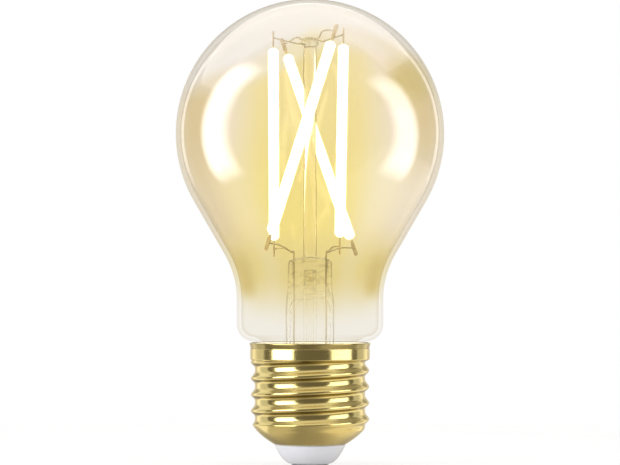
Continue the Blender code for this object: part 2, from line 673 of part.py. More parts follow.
def add_driver(root):
    sleeve_white = finish("insulating_sleeve", (0.85, 0.85, 0.83), 0.5)
    copper = finish("driver_lead", (0.66, 0.36, 0.18), 0.35, metallic=1.0)
    inner = SLEEVE_RADIUS - SLEEVE_WALL
    outline = [(inner, SLEEVE_BOTTOM_Z), (SLEEVE_RADIUS, SLEEVE_BOTTOM_Z)]
    outline += [(SLEEVE_RADIUS, SLEEVE_TOP_Z), (inner, SLEEVE_TOP_Z)]
    place("insulating_sleeve", turned("insulating_sleeve", outline, hollow=True), sleeve_white, root)
    add_board_parts(root)
    add_round_parts(root)
    axis_y = -(BOARD_THICK / 2 + GAP + RESISTOR_RADIUS)
    contact_route = CONTACT_LEAD_START + ((RESISTOR_X, axis_y, CONTACT_LEAD_BEND_Z),)
    contact_route += ((RESISTOR_X, axis_y, RESISTOR_Z - GAP),)
    wire("contact_lead", contact_route, copper, root)
    wire("shell_lead", SHELL_ROUTE, copper, root)
    wire("radio_aerial", AERIAL_ROUTE, copper, root, radius=AERIAL_RADIUS)


def main():
    clear_scene()
    root = bpy.data.objects.new("bulb", None)
    bpy.context.scene.collection.objects.link(root)
    amber = finish("amber_glass", (0.93, 0.80, 0.50), 0.03, transmission=1.0)
    clear = finish("stem_glass", (0.95, 0.94, 0.90), 0.03, transmission=1.0)
    place("glass_envelope", envelope_mesh(), amber, root)
    add_cap(root)
    add_stem(root, clear)
    add_filaments(root)
    add_wires(root)
    add_driver(root)


main()
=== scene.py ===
"""Visual model of an amber LED filament bulb, laid out as an add-on and run as a script.

Metres, +Z up along the bulb's axis, with the front towards -Y.
"""

import math

import bmesh
import bpy
from bpy.props import FloatProperty, FloatVectorProperty, IntProperty, PointerProperty
from mathutils import Matrix, Vector


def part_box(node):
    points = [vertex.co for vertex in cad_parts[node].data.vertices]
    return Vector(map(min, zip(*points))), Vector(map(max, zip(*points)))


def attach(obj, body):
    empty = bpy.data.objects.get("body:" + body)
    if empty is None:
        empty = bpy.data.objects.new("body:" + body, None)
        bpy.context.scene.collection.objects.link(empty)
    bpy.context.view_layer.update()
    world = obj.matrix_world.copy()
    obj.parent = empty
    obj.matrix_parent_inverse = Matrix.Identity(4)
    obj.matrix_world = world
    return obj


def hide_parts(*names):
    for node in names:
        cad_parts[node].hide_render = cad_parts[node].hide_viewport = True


bl_info = {
    "name": "LED Filament Bulb",
    "version": (1, 0, 0),
    "blender": (4, 5, 0),
    "location": "3D View > Sidebar > Bulb",
    "description": "Builds the pieces, finishes and studio of an amber LED filament bulb",
    "category": "Object",
}

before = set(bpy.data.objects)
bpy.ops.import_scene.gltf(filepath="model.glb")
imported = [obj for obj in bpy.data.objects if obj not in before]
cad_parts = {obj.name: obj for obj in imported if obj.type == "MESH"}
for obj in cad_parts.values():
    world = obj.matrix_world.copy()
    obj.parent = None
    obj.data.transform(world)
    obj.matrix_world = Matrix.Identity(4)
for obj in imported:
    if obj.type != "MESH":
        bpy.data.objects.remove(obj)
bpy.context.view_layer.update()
FILAMENTS = 4
# The shell's rim, the reach of its curves and the rows of its two faces
RIM_HEIGHT = 0.0013
SHELL_CURVE = 0.0004
OUTER_ROWS, INNER_ROWS = 210, 90
# The steps of the envelope's curves, and the end of its dome just short of the pole
CURVE_STEPS, DOME_STEPS = 14, 64
DOME_END = math.radians(88)
TAIL_CORNER = 0.0010
CAP_SIDES, CONTACT_SIDES, STEM_SIDES, COAT_SIDES, WELD_SIDES = 96, 64, 40, 32, 16
# How far from a coating the wires are welded to its tabs
UPPER_WELD, LOWER_WELD = 0.0024, 0.0022
LAMP_DISTANCE = 0.8
LAMP_TARGET = Vector((0, 0, 0.055))
WHITE, BLACK = (1.0, 1.0, 1.0), (0.0, 0.0, 0.0)


def node_middle(name):
    low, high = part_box(name)
    return (Vector(low) + Vector(high)) / 2


def node_half_width(name):
    low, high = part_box(name)
    return (high[0] - low[0]) / 2


def node_span(name):
    """The lowest and the highest z of a node."""
    low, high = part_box(name)
    return low[2], high[2]


def amount(name, description, default, **more):
    return FloatProperty(name=name, description=description, default=default, **more)


def length(name, description, default):
    return amount(name, description, default, min=0.0, unit="LENGTH", precision=5)


def angle(name, description, degrees):
    return amount(name, description, math.radians(degrees), subtype="ANGLE")


def side_count(default):
    return IntProperty(name="Sides", description="Faces round the axis", default=default, min=24)


def colour(name, description, default):
    return FloatVectorProperty(
        name=name, description=description, default=default, size=3, min=0.0, max=1.0, subtype="COLOR"
    )


class BulbGlassSettings(bpy.types.PropertyGroup):
    """Sizes and colours of the envelope"""

    radius: length("Radius", "Outer radius of the round of the bulb", node_half_width("glass_envelope"))
    cone: angle("Cone angle", "Half angle of the cone under the round", 30)
    neck_radius: length("Neck radius", "Outer radius of the neck", 0.01635)
    fillet: length("Neck curve", "Radius of the curve from the neck into the cone", 0.020)
    shoulder_radius: length("Shoulder", "Radius of the shoulder above the collar", 0.0038)
    shoulder_z: length("Shoulder height", "Height at which the shoulder starts", 0.0324)
    tail_radius: length("Tail radius", "Outer radius of the tail inside the collar", 0.0116)
    wall: length("Wall", "Thickness of the glass", 0.0010)
    sides: side_count(144)
    amber: colour("Amber", "Tint of the coated glass seen square on", (0.950, 0.850, 0.46))
    # Soft amber is a painted reflection: the coat looks paler a little to the side.
    soft: colour("Soft amber", "Tint of the coated glass a little to the side", (0.942, 0.863, 0.74))
    deep: colour("Deep amber", "Tint of the coated glass seen at a slant", (0.862, 0.760, 0.545))
    # Pale amber paints a reflection at the top and beside the cone, and it also tints random streaks.
    pale: colour("Pale amber", "Tint near the top of the dome", (0.945, 0.918, 0.89))
    bare: colour("Bare neck", "Tint of the uncoated neck", (0.938, 0.918, 0.868))
    fade: colour("Fading coat", "Tint of the coat where it runs out", (0.878, 0.795, 0.515))
    # Darker patches; those at the neck's sides are a painted dark reflection.
    patch: colour("Patches", "Tint of the dense patches of the coat", (0.822, 0.728, 0.460))
    rim: colour("Rim", "Tint where the wall is seen edge on", (0.66, 0.57, 0.43))


class BulbCapSettings(bpy.types.PropertyGroup):
    """Sizes and colours of the screw cap"""

    pitch: length("Pitch", "Rise of the thread in one turn", 0.00362)
    crest: length("Crest", "Radius of the thread's crest", 0.01322)
    root: length("Root", "Radius of the thread's root", 0.0123)
    sharpness: amount("Sharpness", "How narrow the crest is beside the root", 1.8)
    lean: angle("Lean", "How far the crests lean down, as an angle of the thread's wave", 10)
    phase_z: length("Phase", "Height of a crest on the +X side", 0.01485)
    wall: length("Wall", "Thickness of the sheet brass", 0.00035)
    foot_radius: length("Foot radius", "Radius of the shell's lower edge", 0.0083)
    slope: amount("Cone slope", "Run of the lower cone for each unit of height", 1.09)
    cone_height: length("Cone height", "Height of the lower cone", 0.0042)
    bulge: length("Cone bulge", "How far the lower cone bulges", 0.00055)
    collar_radius: length("Collar radius", "Radius of the plain collar", 0.01335)
    rim_radius: length("Rim radius", "Radius of the rolled rim", 0.0135)
    collar_z: length("Collar foot", "Height at which the collar meets the thread", 0.0243)
    sides: side_count(180)
    brass: colour("Brass", "Colour of the polished brass", (0.745, 0.62, 0.26))
    tarnish: colour("Tarnish", "Colour of the brass where it has dulled", (0.62, 0.49, 0.19))
    # Painted shade: the dark line under each crest, and the darker rim band.
    painted_shade: colour("Painted shade", "Colour of the dark line under each crest", (0.13, 0.10, 0.045))
    white: colour("Insulator", "Colour of the white insulator", (0.87, 0.885, 0.97))
    nickel: colour("Contact", "Colour of the plated contact", (0.60, 0.60, 0.62))


class BulbCageSettings(bpy.types.PropertyGroup):
    """Sizes and colours of the filament cage"""

    radius: length("Filament radius", "Radius of the coated filament", 0.00123)
    bore: length("Bore", "Radius of the space round the carrier strip", 0.00085)
    tab_width: length("Tab width", "Width of the metal tabs", 0.0009)
    tab_thick: length("Tab thickness", "Thickness of the metal tabs", 0.0002)
    tab_length: length("Tab length", "Length of the metal tabs", 0.0037)
    gap: length("Tab gap", "Space between a coating and its tab", 0.0003)
    wire_radius: length("Wire radius", "Radius of the support and lead wires", 0.00018)
    glow: colour("Glow", "Colour of the lit phosphor, before the glass tints it", (0.70, 0.78, 1.0))
    halo: colour("Halo", "Colour of the lit phosphor at its sides", (0.18, 0.21, 0.34))
    strength: amount("Strength", "Strength of the lit phosphor", 3.2, min=0.0)
    phosphor: colour("Phosphor", "Colour of the phosphor coating", (1.0, 0.86, 0.52))
    steel: colour("Steel", "Colour of the tabs", (0.54, 0.46, 0.33))
    wire: colour("Wire", "Colour of the wires", (0.48, 0.43, 0.34))
    tinned: colour("Tinned wire", "Colour of the lead wires inside the stem", (0.66, 0.62, 0.54))


class BulbStemSettings(bpy.types.PropertyGroup):
    """Sizes and colours of the glass stem"""

    radius: length("Tube radius", "Radius of the stem's tube", 0.00545)
    wall: length("Wall", "Thickness of the tube's wall", 0.0008)
    flare_radius: length("Flare radius", "Radius of the flared rim", 0.0100)
    flare_height: length("Flare height", "Height of the flare below the straight tube", 0.0034)
    pinch_width: length("Pinch width", "Half width of the pinch", 0.00495)
    pinch_depth: length("Pinch depth", "Half depth of the pinch", 0.0021)
    shut_z: length("Tube top", "Height at which the tube starts to close", 0.0360)
    pinch_z: length("Pinch foot", "Height of the lower end of the pinch", 0.0412)
    pinch_sag: length("Pinch sag", "How far the top of the pinch falls towards its sides", 0.0006)
    rod_radius: length("Rod radius", "Radius of the centre rod", 0.0015)
    rod_fuse: length("Rod fuse", "How far the rod's ends are fused into the pinch and the bead", 0.0006)
    bead_radius: length("Bead radius", "Radius of the bead on the rod", 0.0020)
    exhaust_radius: length("Exhaust radius", "Radius of the exhaust tube", 0.00145)
    exhaust_bore: length("Exhaust bore", "Radius of the exhaust tube's bore", 0.00085)
    lead_x: length("Lead spread", "Distance of the leads from the middle, sideways", 0.0036)
    lead_y: length("Lead depth", "Distance of the leads from the middle, front to back", 0.00105)
    tint: colour("Tint", "Tint of the stem's glass", (0.975, 0.968, 0.945))
    edge: colour("Edge", "Tint of the stem's glass seen edge on", (0.46, 0.38, 0.25))
    ground: colour("Ground glass", "Tint of the rod's ground glass", (0.98, 0.965, 0.95))


class BulbStageSettings(bpy.types.PropertyGroup):
    """Camera, floor and lights"""

    distance: length("Distance", "Distance of the camera from the bulb's axis", 0.475)
    height: length("Height", "Height of the camera", 0.039)
    middle_z: length("Picture middle", "Height that falls in the middle of the picture", 0.0529)
    view_width: length("Picture width", "Width that the picture takes in at the bulb's axis", 0.13855)
    floor: colour("Floor", "Colour of the floor", (0.95, 0.95, 0.95))
    floor_radius: length("Floor radius", "Radius at which the floor has run out", 0.20)
    backdrop: colour("Backdrop", "Tint of the backdrop where the bulb reflects it", (1.0, 0.92, 0.78))
    ambient: amount(
        "Ambient", "Level of the light from all round", 0.50, min=0.0, max=1.0, subtype="FACTOR"
    )
    panel: amount("Panels", "Brightness of the panels that the glass reflects", 19.0)
    strip: amount("Strips", "Brightness of the strips that the cap reflects", 4.5)
    haze: amount("Back panel", "Brightness of the panel above and behind", 1.3)
    front: amount("Front panel", "Brightness of the panel above the front", 0.45)
    flank: amount("Flanks", "Brightness of the panels at the cap's sides", 0.53)
    ground: amount("Ground", "Brightness of the ground that the glass reflects", 0.9)
    edge: amount("Edges", "Brightness of the thin lines inside the glass's rim", 1.8)
    key: amount("Key light", "Brightness of the light from the left", 3.6)
    top: amount("Top light", "Brightness of the light from above", 2.2)


def maths(operation, reflected=False):
    """A method for Field that adds a Math node."""

    def method(self, other):
        first, second = (other, self) if reflected else (self, other)
        return self.shading.node("ShaderNodeMath", {"operation": operation}, {0: first, 1: second})

    return method


class Field:
    """A value in a node tree, which takes Python's arithmetic."""

    def __init__(self, shading, socket):
        self.shading = shading
        self.socket = socket

    __add__, __radd__ = maths("ADD"), maths("ADD", True)
    __sub__, __rsub__ = maths("SUBTRACT"), maths("SUBTRACT", True)
    __mul__, __rmul__ = maths("MULTIPLY"), maths("MULTIPLY", True)
    __truediv__, __rtruediv__ = maths("DIVIDE"), maths("DIVIDE", True)
    __pow__, __rpow__ = maths("POWER"), maths("POWER", True)


class Shading:
    """Builds one node tree."""

    def __init__(self, tree, output_kind, material=None):
        self.tree = tree
        self.material = material
        tree.nodes.clear()
        self.output = tree.nodes.new(output_kind)

    def node(self, kind, settings=None, sockets=None, output=0):
        """Adds a node, with its settings first and then the values or links of its sockets."""
        made = self.tree.nodes.new(kind)
        for name, value in (settings or {}).items():
            setattr(made, name, value)
        for name, value in (sockets or {}).items():
            socket = made.inputs[name]
            if isinstance(value, Field):
                self.tree.links.new(value.socket, socket)
            elif socket.type == "RGBA":
                socket.default_value = (*value[:3], 1.0)
            else:
                socket.default_value = value
        return Field(self, made.outputs[output])

    def close(self, shader):
        """Ends the tree with a shader, and gives the material back."""
        self.tree.links.new(shader.socket, self.output.inputs["Surface"])
        return self.material

    def principled(self, sockets):
        return self.node("ShaderNodeBsdfPrincipled", None, sockets, "BSDF")

    def clear(self, tint):
        return self.node("ShaderNodeBsdfTransparent", None, {"Color": tint})

    def emission(self, tint):
        return self.node("ShaderNodeEmission", None, {"Color": tint})

    def blend(self, weight, first, second):
        """A mix of two shaders."""
        return self.node("ShaderNodeMixShader", None, {0: weight, 1: first, 2: second}, "Shader")

    def point(self):
        return self.node("ShaderNodeTexCoord", None, None, "Object")

    def normal(self):
        return self.node("ShaderNodeNewGeometry", None, None, "Normal")

    def axis(self, vector, name):
        return self.node("ShaderNodeSeparateXYZ", None, {0: vector}, name)

    def ray(self, name):
        return self.node("ShaderNodeLightPath", None, None, name)

    def facing(self, blend=0.5):
        return self.node("ShaderNodeLayerWeight", None, {"Blend": blend}, "Facing")

    def noise(self, vector, scale, detail=2.0):
        sockets = {"Vector": vector, "Scale": scale, "Detail": detail}
        return self.node("ShaderNodeTexNoise", None, sockets, "Fac")

    def stretched(self, vector, scale):
        return self.node("ShaderNodeVectorMath", {"operation": "MULTIPLY"}, {0: vector, 1: scale})

    def grain(self, vector, scale, detail=2.0):
        """Noise with a scale of its own along each axis."""
        return self.noise(self.stretched(vector, scale), 1.0, detail)

    def step(self, value, low, high):
        """A smooth step from 0 at low to 1 at high."""
        sockets = {"Value": value, "From Min": low, "From Max": high}
        return self.node("ShaderNodeMapRange", {"interpolation_type": "SMOOTHSTEP"}, sockets)

    def band(self, value, low, rise, fall, high):
        """1 from rise to fall, running out to 0 at low and at high."""
        return self.step(value, low, rise) * (1 - self.step(value, fall, high))

    def mix(self, weight, first, second):
        return self.node("ShaderNodeMix", {"data_type": "RGBA"}, {0: weight, 6: first, 7: second}, 2)

    def bump(self, height, strength, distance):
        sockets = {"Height": height, "Strength": strength, "Distance": distance}
        return self.node("ShaderNodeBump", None, sockets)


def new_finish(name):
    """The builder of a new material."""
    material = bpy.data.materials.new(name)
    material.use_nodes = True
    return Shading(material.node_tree, "ShaderNodeOutputMaterial", material)


def darker(tint, share):
    return [share * part for part in tint]


def amber_glass(glass):
    """Thin coated glass: what is behind shows straight through, and a clear coat reflects."""
    shading = new_finish("amber_coated_glass")
    point = shading.point()
    across, height = shading.axis(point, "X"), shading.axis(point, "Z")
    low, high = node_span("glass_envelope")
    above, drop = height - low, high - height
    slant = shading.facing()
    upright = (1 - shading.axis(shading.normal(), "Z") ** 2 * 0.99) ** 0.5
    aside = 1 - (1 - slant) / upright
    lower = 1 - shading.step(above, 0.036, 0.056)
    # Square on, the coat is a saturated amber. A little to the side it turns paler, a painted reflection
    # of the white surroundings, and further to the side it deepens.
    tint = shading.mix(0.3 * (1 - lower), glass.amber, glass.soft)
    tint = shading.mix(shading.step(aside, 0.05, 0.24) * (1 - 0.6 * lower), tint, glass.soft)
    tint = shading.mix(shading.step(aside, 0.20, 0.50), tint, glass.deep)
    # A painted reflection makes it pale at the top and beside the cone. One patch below the top is
    # darker.
    crown = 0.37 * (across * across) ** 0.5 - 0.006 * shading.step(across, -0.006, 0.012) - drop
    tint = shading.mix(0.9 * shading.step(crown, -0.0125, -0.0088), tint, glass.pale)
    # Painted reflection: paler beside the cone, more on the right than on the left.
    right, left = shading.step(across, 0.006, 0.020), shading.step(0 - across, 0.010, 0.022)
    tint = shading.mix(lower * (0.45 * right + 0.2 * left), tint, glass.pale)
    off_x, off_z = (across - 0.0234) / 0.0085, (drop - 0.0180) / 0.0055
    patch = 1 - shading.step(off_x * off_x + off_z * off_z, 0.1, 1.2)
    tint = shading.mix(patch, tint, glass.patch)
    tint = shading.mix(0.12 * shading.grain(point, (60, 60, 14)), tint, glass.pale)
    tint = neck_tint(shading, glass, tint, above, aside)
    # The wall darkens where it is seen edge on, most of all at the cone.
    cone, round_part = shading.step(above, 0.014, 0.030), shading.step(above, 0.055, 0.070)
    edge = shading.step(slant, 0.64, 0.84) * (0.25 + 0.42 * cone - 0.27 * round_part)
    sockets = {
        "Base Color": shading.mix(edge, tint, glass.rim),
        "Normal": shading.bump(shading.grain(point, (45, 45, 20), 1.0), 0.05, 0.001),
        "Roughness": 0.0,
        "IOR": 1.0,
        "Transmission Weight": 1.0,
        "Coat Weight": shading.step(above, 0.017, 0.042),
        "Coat Roughness": 0.0,
        "Coat IOR": 1.36,
    }
    return shading.close(shading.principled(sockets))


def neck_tint(shading, glass, tint, above, aside):
    """The coat runs out down the neck, with pale streaks, and with a painted dark reflection at either
    side.
    """
    tint = shading.mix(1 - shading.step(above, 0.020, 0.032), tint, glass.fade)
    streak = shading.band(aside, 0.05, 0.12, 0.16, 0.26)
    coat = shading.step(above - 0.004 * aside, 0.0062, 0.0190) * (1 - 0.15 * streak)
    tint = shading.mix(coat, glass.bare, tint)
    # Painted dark reflection: a darker patch at either side of the neck.
    beside = shading.band(aside, 0.26, 0.46, 0.60, 0.80)
    level = shading.band(above, 0.0125, 0.0170, 0.0205, 0.0265)
    return shading.mix(level * beside, tint, glass.patch)


def solid_glass(shading, sockets):
    return shading.principled({**sockets, "IOR": 1.45, "Transmission Weight": 1.0})


def stem_glass(stem):
    """Glass with seeds and, near its pinch, creases. A share of it lets light straight through."""
    shading = new_finish("clear_stem_glass")
    point = shading.point()
    height = shading.axis(point, "Z")
    seeds = shading.grain(point, (900, 900, 250), 3.0)
    tint = shading.mix(0.25 * seeds, stem.tint, stem.edge)
    tint = shading.mix(shading.facing(0.6) ** 3, tint, stem.edge)
    creases = shading.band(shading.grain(point, (260, 260, 620), 1.0), 0.50, 0.56, 0.56, 0.62)
    creases = creases * shading.step(height, stem.shut_z, stem.pinch_z + 0.002)
    tint = shading.mix(0.6 * creases, tint, stem.edge)
    ripple = shading.bump(shading.grain(point, (300, 300, 120), 1.0), 0.15, 0.0004)
    glass = solid_glass(shading, {"Base Color": tint, "Normal": ripple, "Roughness": 0.0})
    tube = 1 - shading.step(height, stem.pinch_z, stem.pinch_z + 0.0045)
    front = 1 - shading.step(shading.facing(), 0.55, 0.85)
    calm = (0.45 + 0.5 * tube) * front * (1 - 0.7 * creases) + 0.1 * seeds
    return shading.close(shading.blend(calm, glass, shading.clear((0.997, 0.995, 0.988))))


def ground_glass(stem):
    """Glass with a ground skin, which blurs what stands behind it, and a dark outline."""
    shading = new_finish("ground_rod_glass")
    facing = shading.facing()
    grain = shading.grain(shading.point(), (700, 700, 90), 3.0)
    tint = shading.mix(shading.step(facing, 0.35, 0.75), stem.ground, stem.edge)
    tint = shading.mix(0.08 * grain, tint, stem.edge)
    glass = solid_glass(shading, {"Base Color": tint, "Roughness": 0.20 + 0.10 * grain})
    calm = 0.25 + 0.55 * shading.step(facing, 0.35, 0.7)
    skin = shading.blend(calm, glass, shading.clear((0.975, 0.965, 0.96)))
    outline = 0.5 * shading.step(facing, 0.45, 0.75)
    return shading.close(shading.blend(outline, skin, shading.clear(stem.edge)))


def phosphor_glow(cage):
    """Lit silicone, dimmer and clearer towards its sides."""
    shading = new_finish("lit_phosphor")
    facing = shading.facing()
    grain = shading.noise(shading.point(), 2600.0, 3.0)
    lit = shading.mix(0.2 * grain, cage.glow, cage.phosphor)
    sockets = {
        "Base Color": shading.mix(0.3 * grain, cage.phosphor, cage.glow),
        "Roughness": 0.45 + 0.2 * grain,
        "Emission Color": shading.mix(shading.step(facing, 0.30, 0.90), lit, cage.halo),
        "Emission Strength": cage.strength,
        "Alpha": 1 - 0.9 * shading.step(facing, 0.25, 0.90),
    }
    return shading.close(shading.principled(sockets))


def drawn_metal(name, bright, dull, along=(900, 900, 90), rough=0.32, metallic=1.0, below=None):
    """Metal with drawing marks and dulled patches, which can have another colour below a height."""
    shading = new_finish(name)
    point = shading.point()
    marks = shading.grain(point, along, 3.0)
    patches = shading.noise(point, 420.0)
    tint = shading.mix(shading.step(patches, 0.35, 0.7), bright, dull)
    if below:
        height, foot = below
        run_out = 0.001
        above = shading.step(shading.axis(point, "Z"), height - run_out, height + run_out)
        tint = shading.mix(above, foot, tint)
    sockets = {
        "Base Color": tint,
        "Metallic": metallic,
        "Roughness": rough + 0.2 * marks,
        "Normal": shading.bump(marks, 0.15, 0.00008),
    }
    return shading.close(shading.principled(sockets))


def brass_finish(cap):
    """Polished brass, duller in patches and where it is handled, with painted shade under the crests and
    on the rim band.
    """
    shading = new_finish("polished_brass")
    point = shading.point()
    height = shading.axis(point, "Z")
    low, high = node_span("screw_shell")
    above = height - low
    turned = shading.grain(point, (40, 40, 5200), 3.0)
    patches = shading.step(shading.noise(point, 110.0, 4.0), 0.42, 0.72)
    specks = shading.step(shading.noise(point, 1500.0), 0.62, 0.75)
    handled = 1 - shading.step(above, 0.0, 0.006)
    dull = patches * 0.5 + specks * 0.3 + handled * 0.25
    tint = shading.mix(dull, cap.brass, cap.tarnish)
    # Painted shade: faces that look down, under the crests, are darkened.
    under = shading.step(0 - shading.axis(shading.normal(), "Z"), 0.59, 0.70)
    under = under * shading.step(above, 0.0046, 0.0054)
    tint = shading.mix(0.5 * under, tint, cap.painted_shade)
    # Painted shade: the rim band at the top is darkened.
    blur = 0.0001
    rim = 1 - shading.step(high - height, RIM_HEIGHT - blur, RIM_HEIGHT + blur)
    sockets = {
        "Base Color": shading.mix(0.45 * rim, tint, cap.painted_shade),
        "Metallic": 1.0,
        "Roughness": 0.13 + 0.05 * turned + 0.08 * dull,
        "Normal": shading.bump(turned, 0.03, 0.00005),
    }
    return shading.close(shading.principled(sockets))


def moulded(name, light, dark, scale=900.0, rough=0.38, coat=0.0, bump=0.1):
    """A moulded or matt surface with a fine grain and slight mottling."""
    shading = new_finish(name)
    point = shading.point()
    grain = shading.noise(point, scale * 3)
    mottle = shading.noise(point, scale / 4, 3.0)
    sockets = {
        "Base Color": shading.mix(shading.step(mottle, 0.3, 0.75), light, dark),
        "Roughness": rough + 0.15 * grain,
        "Coat Weight": coat,
        "Normal": shading.bump(grain, bump, 0.00006),
    }
    return shading.close(shading.principled(sockets))


def board_finish():
    """Green solder mask over tracks, with bare plated pads."""
    shading = new_finish("driver_solder_mask")
    point = shading.point()
    cells = {"Vector": shading.stretched(point, (900, 900, 900)), "Scale": 1.0, "Randomness": 0.6}
    pads = shading.node("ShaderNodeTexVoronoi", {"distance": "CHEBYCHEV"}, cells, "Distance")
    pad = 1 - shading.step(pads, 0.16, 0.20)
    tracks = shading.step(shading.grain(point, (500, 500, 120), 1.0), 0.49, 0.53)
    mask = shading.mix(tracks, (0.02, 0.12, 0.05), (0.05, 0.22, 0.10))
    sockets = {
        "Base Color": shading.mix(pad, mask, (0.62, 0.58, 0.50)),
        "Metallic": pad,
        "Roughness": 0.45 - 0.1 * pad,
        "Normal": shading.bump(tracks + pad, 0.2, 0.00005),
    }
    return shading.close(shading.principled(sockets))


def wound_copper():
    """Enamelled copper with the ridges of its turns."""
    shading = new_finish("enamelled_copper")
    height = shading.axis(shading.point(), "Z")
    radians_per_metre = 26000.0
    turns = shading.node("ShaderNodeMath", {"operation": "SINE"}, {0: height * radians_per_metre})
    sockets = {
        "Base Color": shading.mix(turns * 0.5 + 0.5, (0.34, 0.13, 0.05), (0.66, 0.33, 0.16)),
        "Metallic": 1.0,
        "Roughness": 0.36 - 0.08 * turns,
        "Normal": shading.bump(turns, 0.5, 0.0001),
    }
    return shading.close(shading.principled(sockets))


def shares(steps):
    """Even shares from 0 to 1."""
    return [step / steps for step in range(steps + 1)]


def eased(t):
    return t * t * (3 - 2 * t)


def on_axis(height):
    return Vector((0, 0, height))


def arc(centre, radius, start, end, steps):
    """Points (r, z) on an arc, with angles measured from the +r direction."""
    points = []
    for t in shares(steps):
        turn = start + (end - start) * t
        points.append((centre[0] + radius * math.cos(turn), centre[1] + radius * math.sin(turn)))
    return points


def full_turn(sides):
    return [2 * math.pi * side / sides for side in range(sides)]


def round_axis(radius, turn, height):
    return Vector((radius * math.cos(turn), radius * math.sin(turn), height))


def circle(radius, height, sides):
    return [round_axis(radius, turn, height) for turn in full_turn(sides)]


def finished_mesh(name, shape, sharp_degrees=40):
    bmesh.ops.recalc_face_normals(shape, faces=shape.faces)
    mesh = bpy.data.meshes.new(name)
    shape.to_mesh(mesh)
    shape.free()
    mesh.shade_smooth()
    mesh.set_sharp_from_angle(angle=math.radians(sharp_degrees))
    return mesh


def add_band(shape, below, above):
    """Adds the quads between two loops of vertices."""
    for side in range(len(below)):
        after = (side + 1) % len(below)
        shape.faces.new((below[side], below[after], above[after], above[side]))


def add_skin(shape, rings, closed=False, tips=(None, None)):
    """Adds quads over rings, and a fan to a tip point at either end where one is given."""
    loops = [[shape.verts.new(point) for point in ring] for ring in rings]
    pairs = list(zip(loops, loops[1:]))
    if closed:
        pairs.append((loops[-1], loops[0]))
    for below, above in pairs:
        add_band(shape, below, above)
    for loop, tip in zip((loops[0], loops[-1]), tips):
        if tip is not None:
            point = shape.verts.new(tip)
            for side in range(len(loop)):
                shape.faces.new((loop[side], loop[(side + 1) % len(loop)], point))
    return loops


def turned_mesh(name, outline, sides, closed=False, sharp_degrees=40):
    """A turned piece: round a hole when closed, or else from one point on the axis to another."""
    shape = bmesh.new()
    if closed:
        add_skin(shape, [circle(r, z, sides) for r, z in outline], closed=True)
    else:
        tips = (on_axis(outline[0][1]), on_axis(outline[-1][1]))
        add_skin(shape, [circle(r, z, sides) for r, z in outline[1:-1]], tips=tips)
    return finished_mesh(name, shape, sharp_degrees)


def add_piece(name, data, material, replaced=None, matrix=None):
    """Links a piece, puts it on the body and hides the node it stands for."""
    piece = bpy.data.objects.new(name, data)
    bpy.context.scene.collection.objects.link(piece)
    data.materials.append(material)
    if matrix is not None:
        piece.matrix_world = matrix
    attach(piece, "root")
    if replaced:
        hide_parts(replaced)
    return piece


def rounded_outline(corners, radius, steps=4):
    """A closed outline (r, z) whose corners are rounded."""
    outline = []
    count = len(corners)
    for index, corner in enumerate(corners):
        here = Vector(corner)
        before = Vector(corners[index - 1]) - here
        after = Vector(corners[(index + 1) % count]) - here
        reach = min(radius, before.length * 0.45, after.length * 0.45)
        start, end = here + before.normalized() * reach, here + after.normalized() * reach
        for t in shares(steps):
            point = (1 - t) ** 2 * start + 2 * t * (1 - t) * here + t**2 * end
            outline.append((point.x, point.y))
    return outline


def smooth_route(points, per_span=8):
    """Points on a Catmull-Rom curve through a route's own points."""
    route = [Vector(point) for point in points]
    padded = [2 * route[0] - route[1]] + route + [2 * route[-1] - route[-2]]
    result = []
    for index in range(len(route) - 1):
        p0, p1, p2, p3 = padded[index : index + 4]
        for step in range(per_span):
            t = step / per_span
            slope = (p2 - p0) * t
            bend = (2 * p0 - 5 * p1 + 4 * p2 - p3) * t**2
            twist = (3 * p1 - p0 - 3 * p2 + p3) * t**3
            result.append(0.5 * (2 * p1 + slope + bend + twist))
    result.append(route[-1])
    return result


def wire_curve(name, route, radius):
    points = smooth_route(route)
    curve = bpy.data.curves.new(name, "CURVE")
    curve.dimensions = "3D"
    spline = curve.splines.new("POLY")
    spline.points.add(len(points) - 1)
    for slot, point in zip(spline.points, points):
        slot.co = (*point, 1.0)
    curve.bevel_depth = radius
    curve.bevel_resolution = 4
    curve.use_fill_caps = True
    return curve


class Filament:
    """One filament's place, taken from its coating and tabs in the frame."""

    def __init__(self, number, cage):
        self.name = f"filament_{number}"
        upper = node_middle(f"{self.name}_upper_tab")
        lower = node_middle(f"{self.name}_lower_tab")
        self.cage = cage
        self.middle = (upper + lower) / 2
        self.along = (upper - lower).normalized()
        self.half = (upper - lower).length / 2 - cage.tab_length / 2 - cage.gap
        outward = Vector((self.middle.x, self.middle.y, 0))
        self.outward = (outward - outward.dot(self.along) * self.along).normalized()
        side = self.along.cross(self.outward)
        turn = Matrix((self.outward, side, self.along)).transposed()
        self.matrix = Matrix.Translation(self.middle) @ turn.to_4x4()

    def weld(self, upper, from_end):
        """The point on a tab's inner face that a wire is welded to."""
        reach = self.half + from_end
        end = self.middle + (reach if upper else -reach) * self.along
        return end - self.outward * (self.cage.tab_thick / 2 + self.cage.wire_radius * 0.8)


def all_filaments(cage):
    return [Filament(number, cage) for number in range(1, FILAMENTS + 1)]


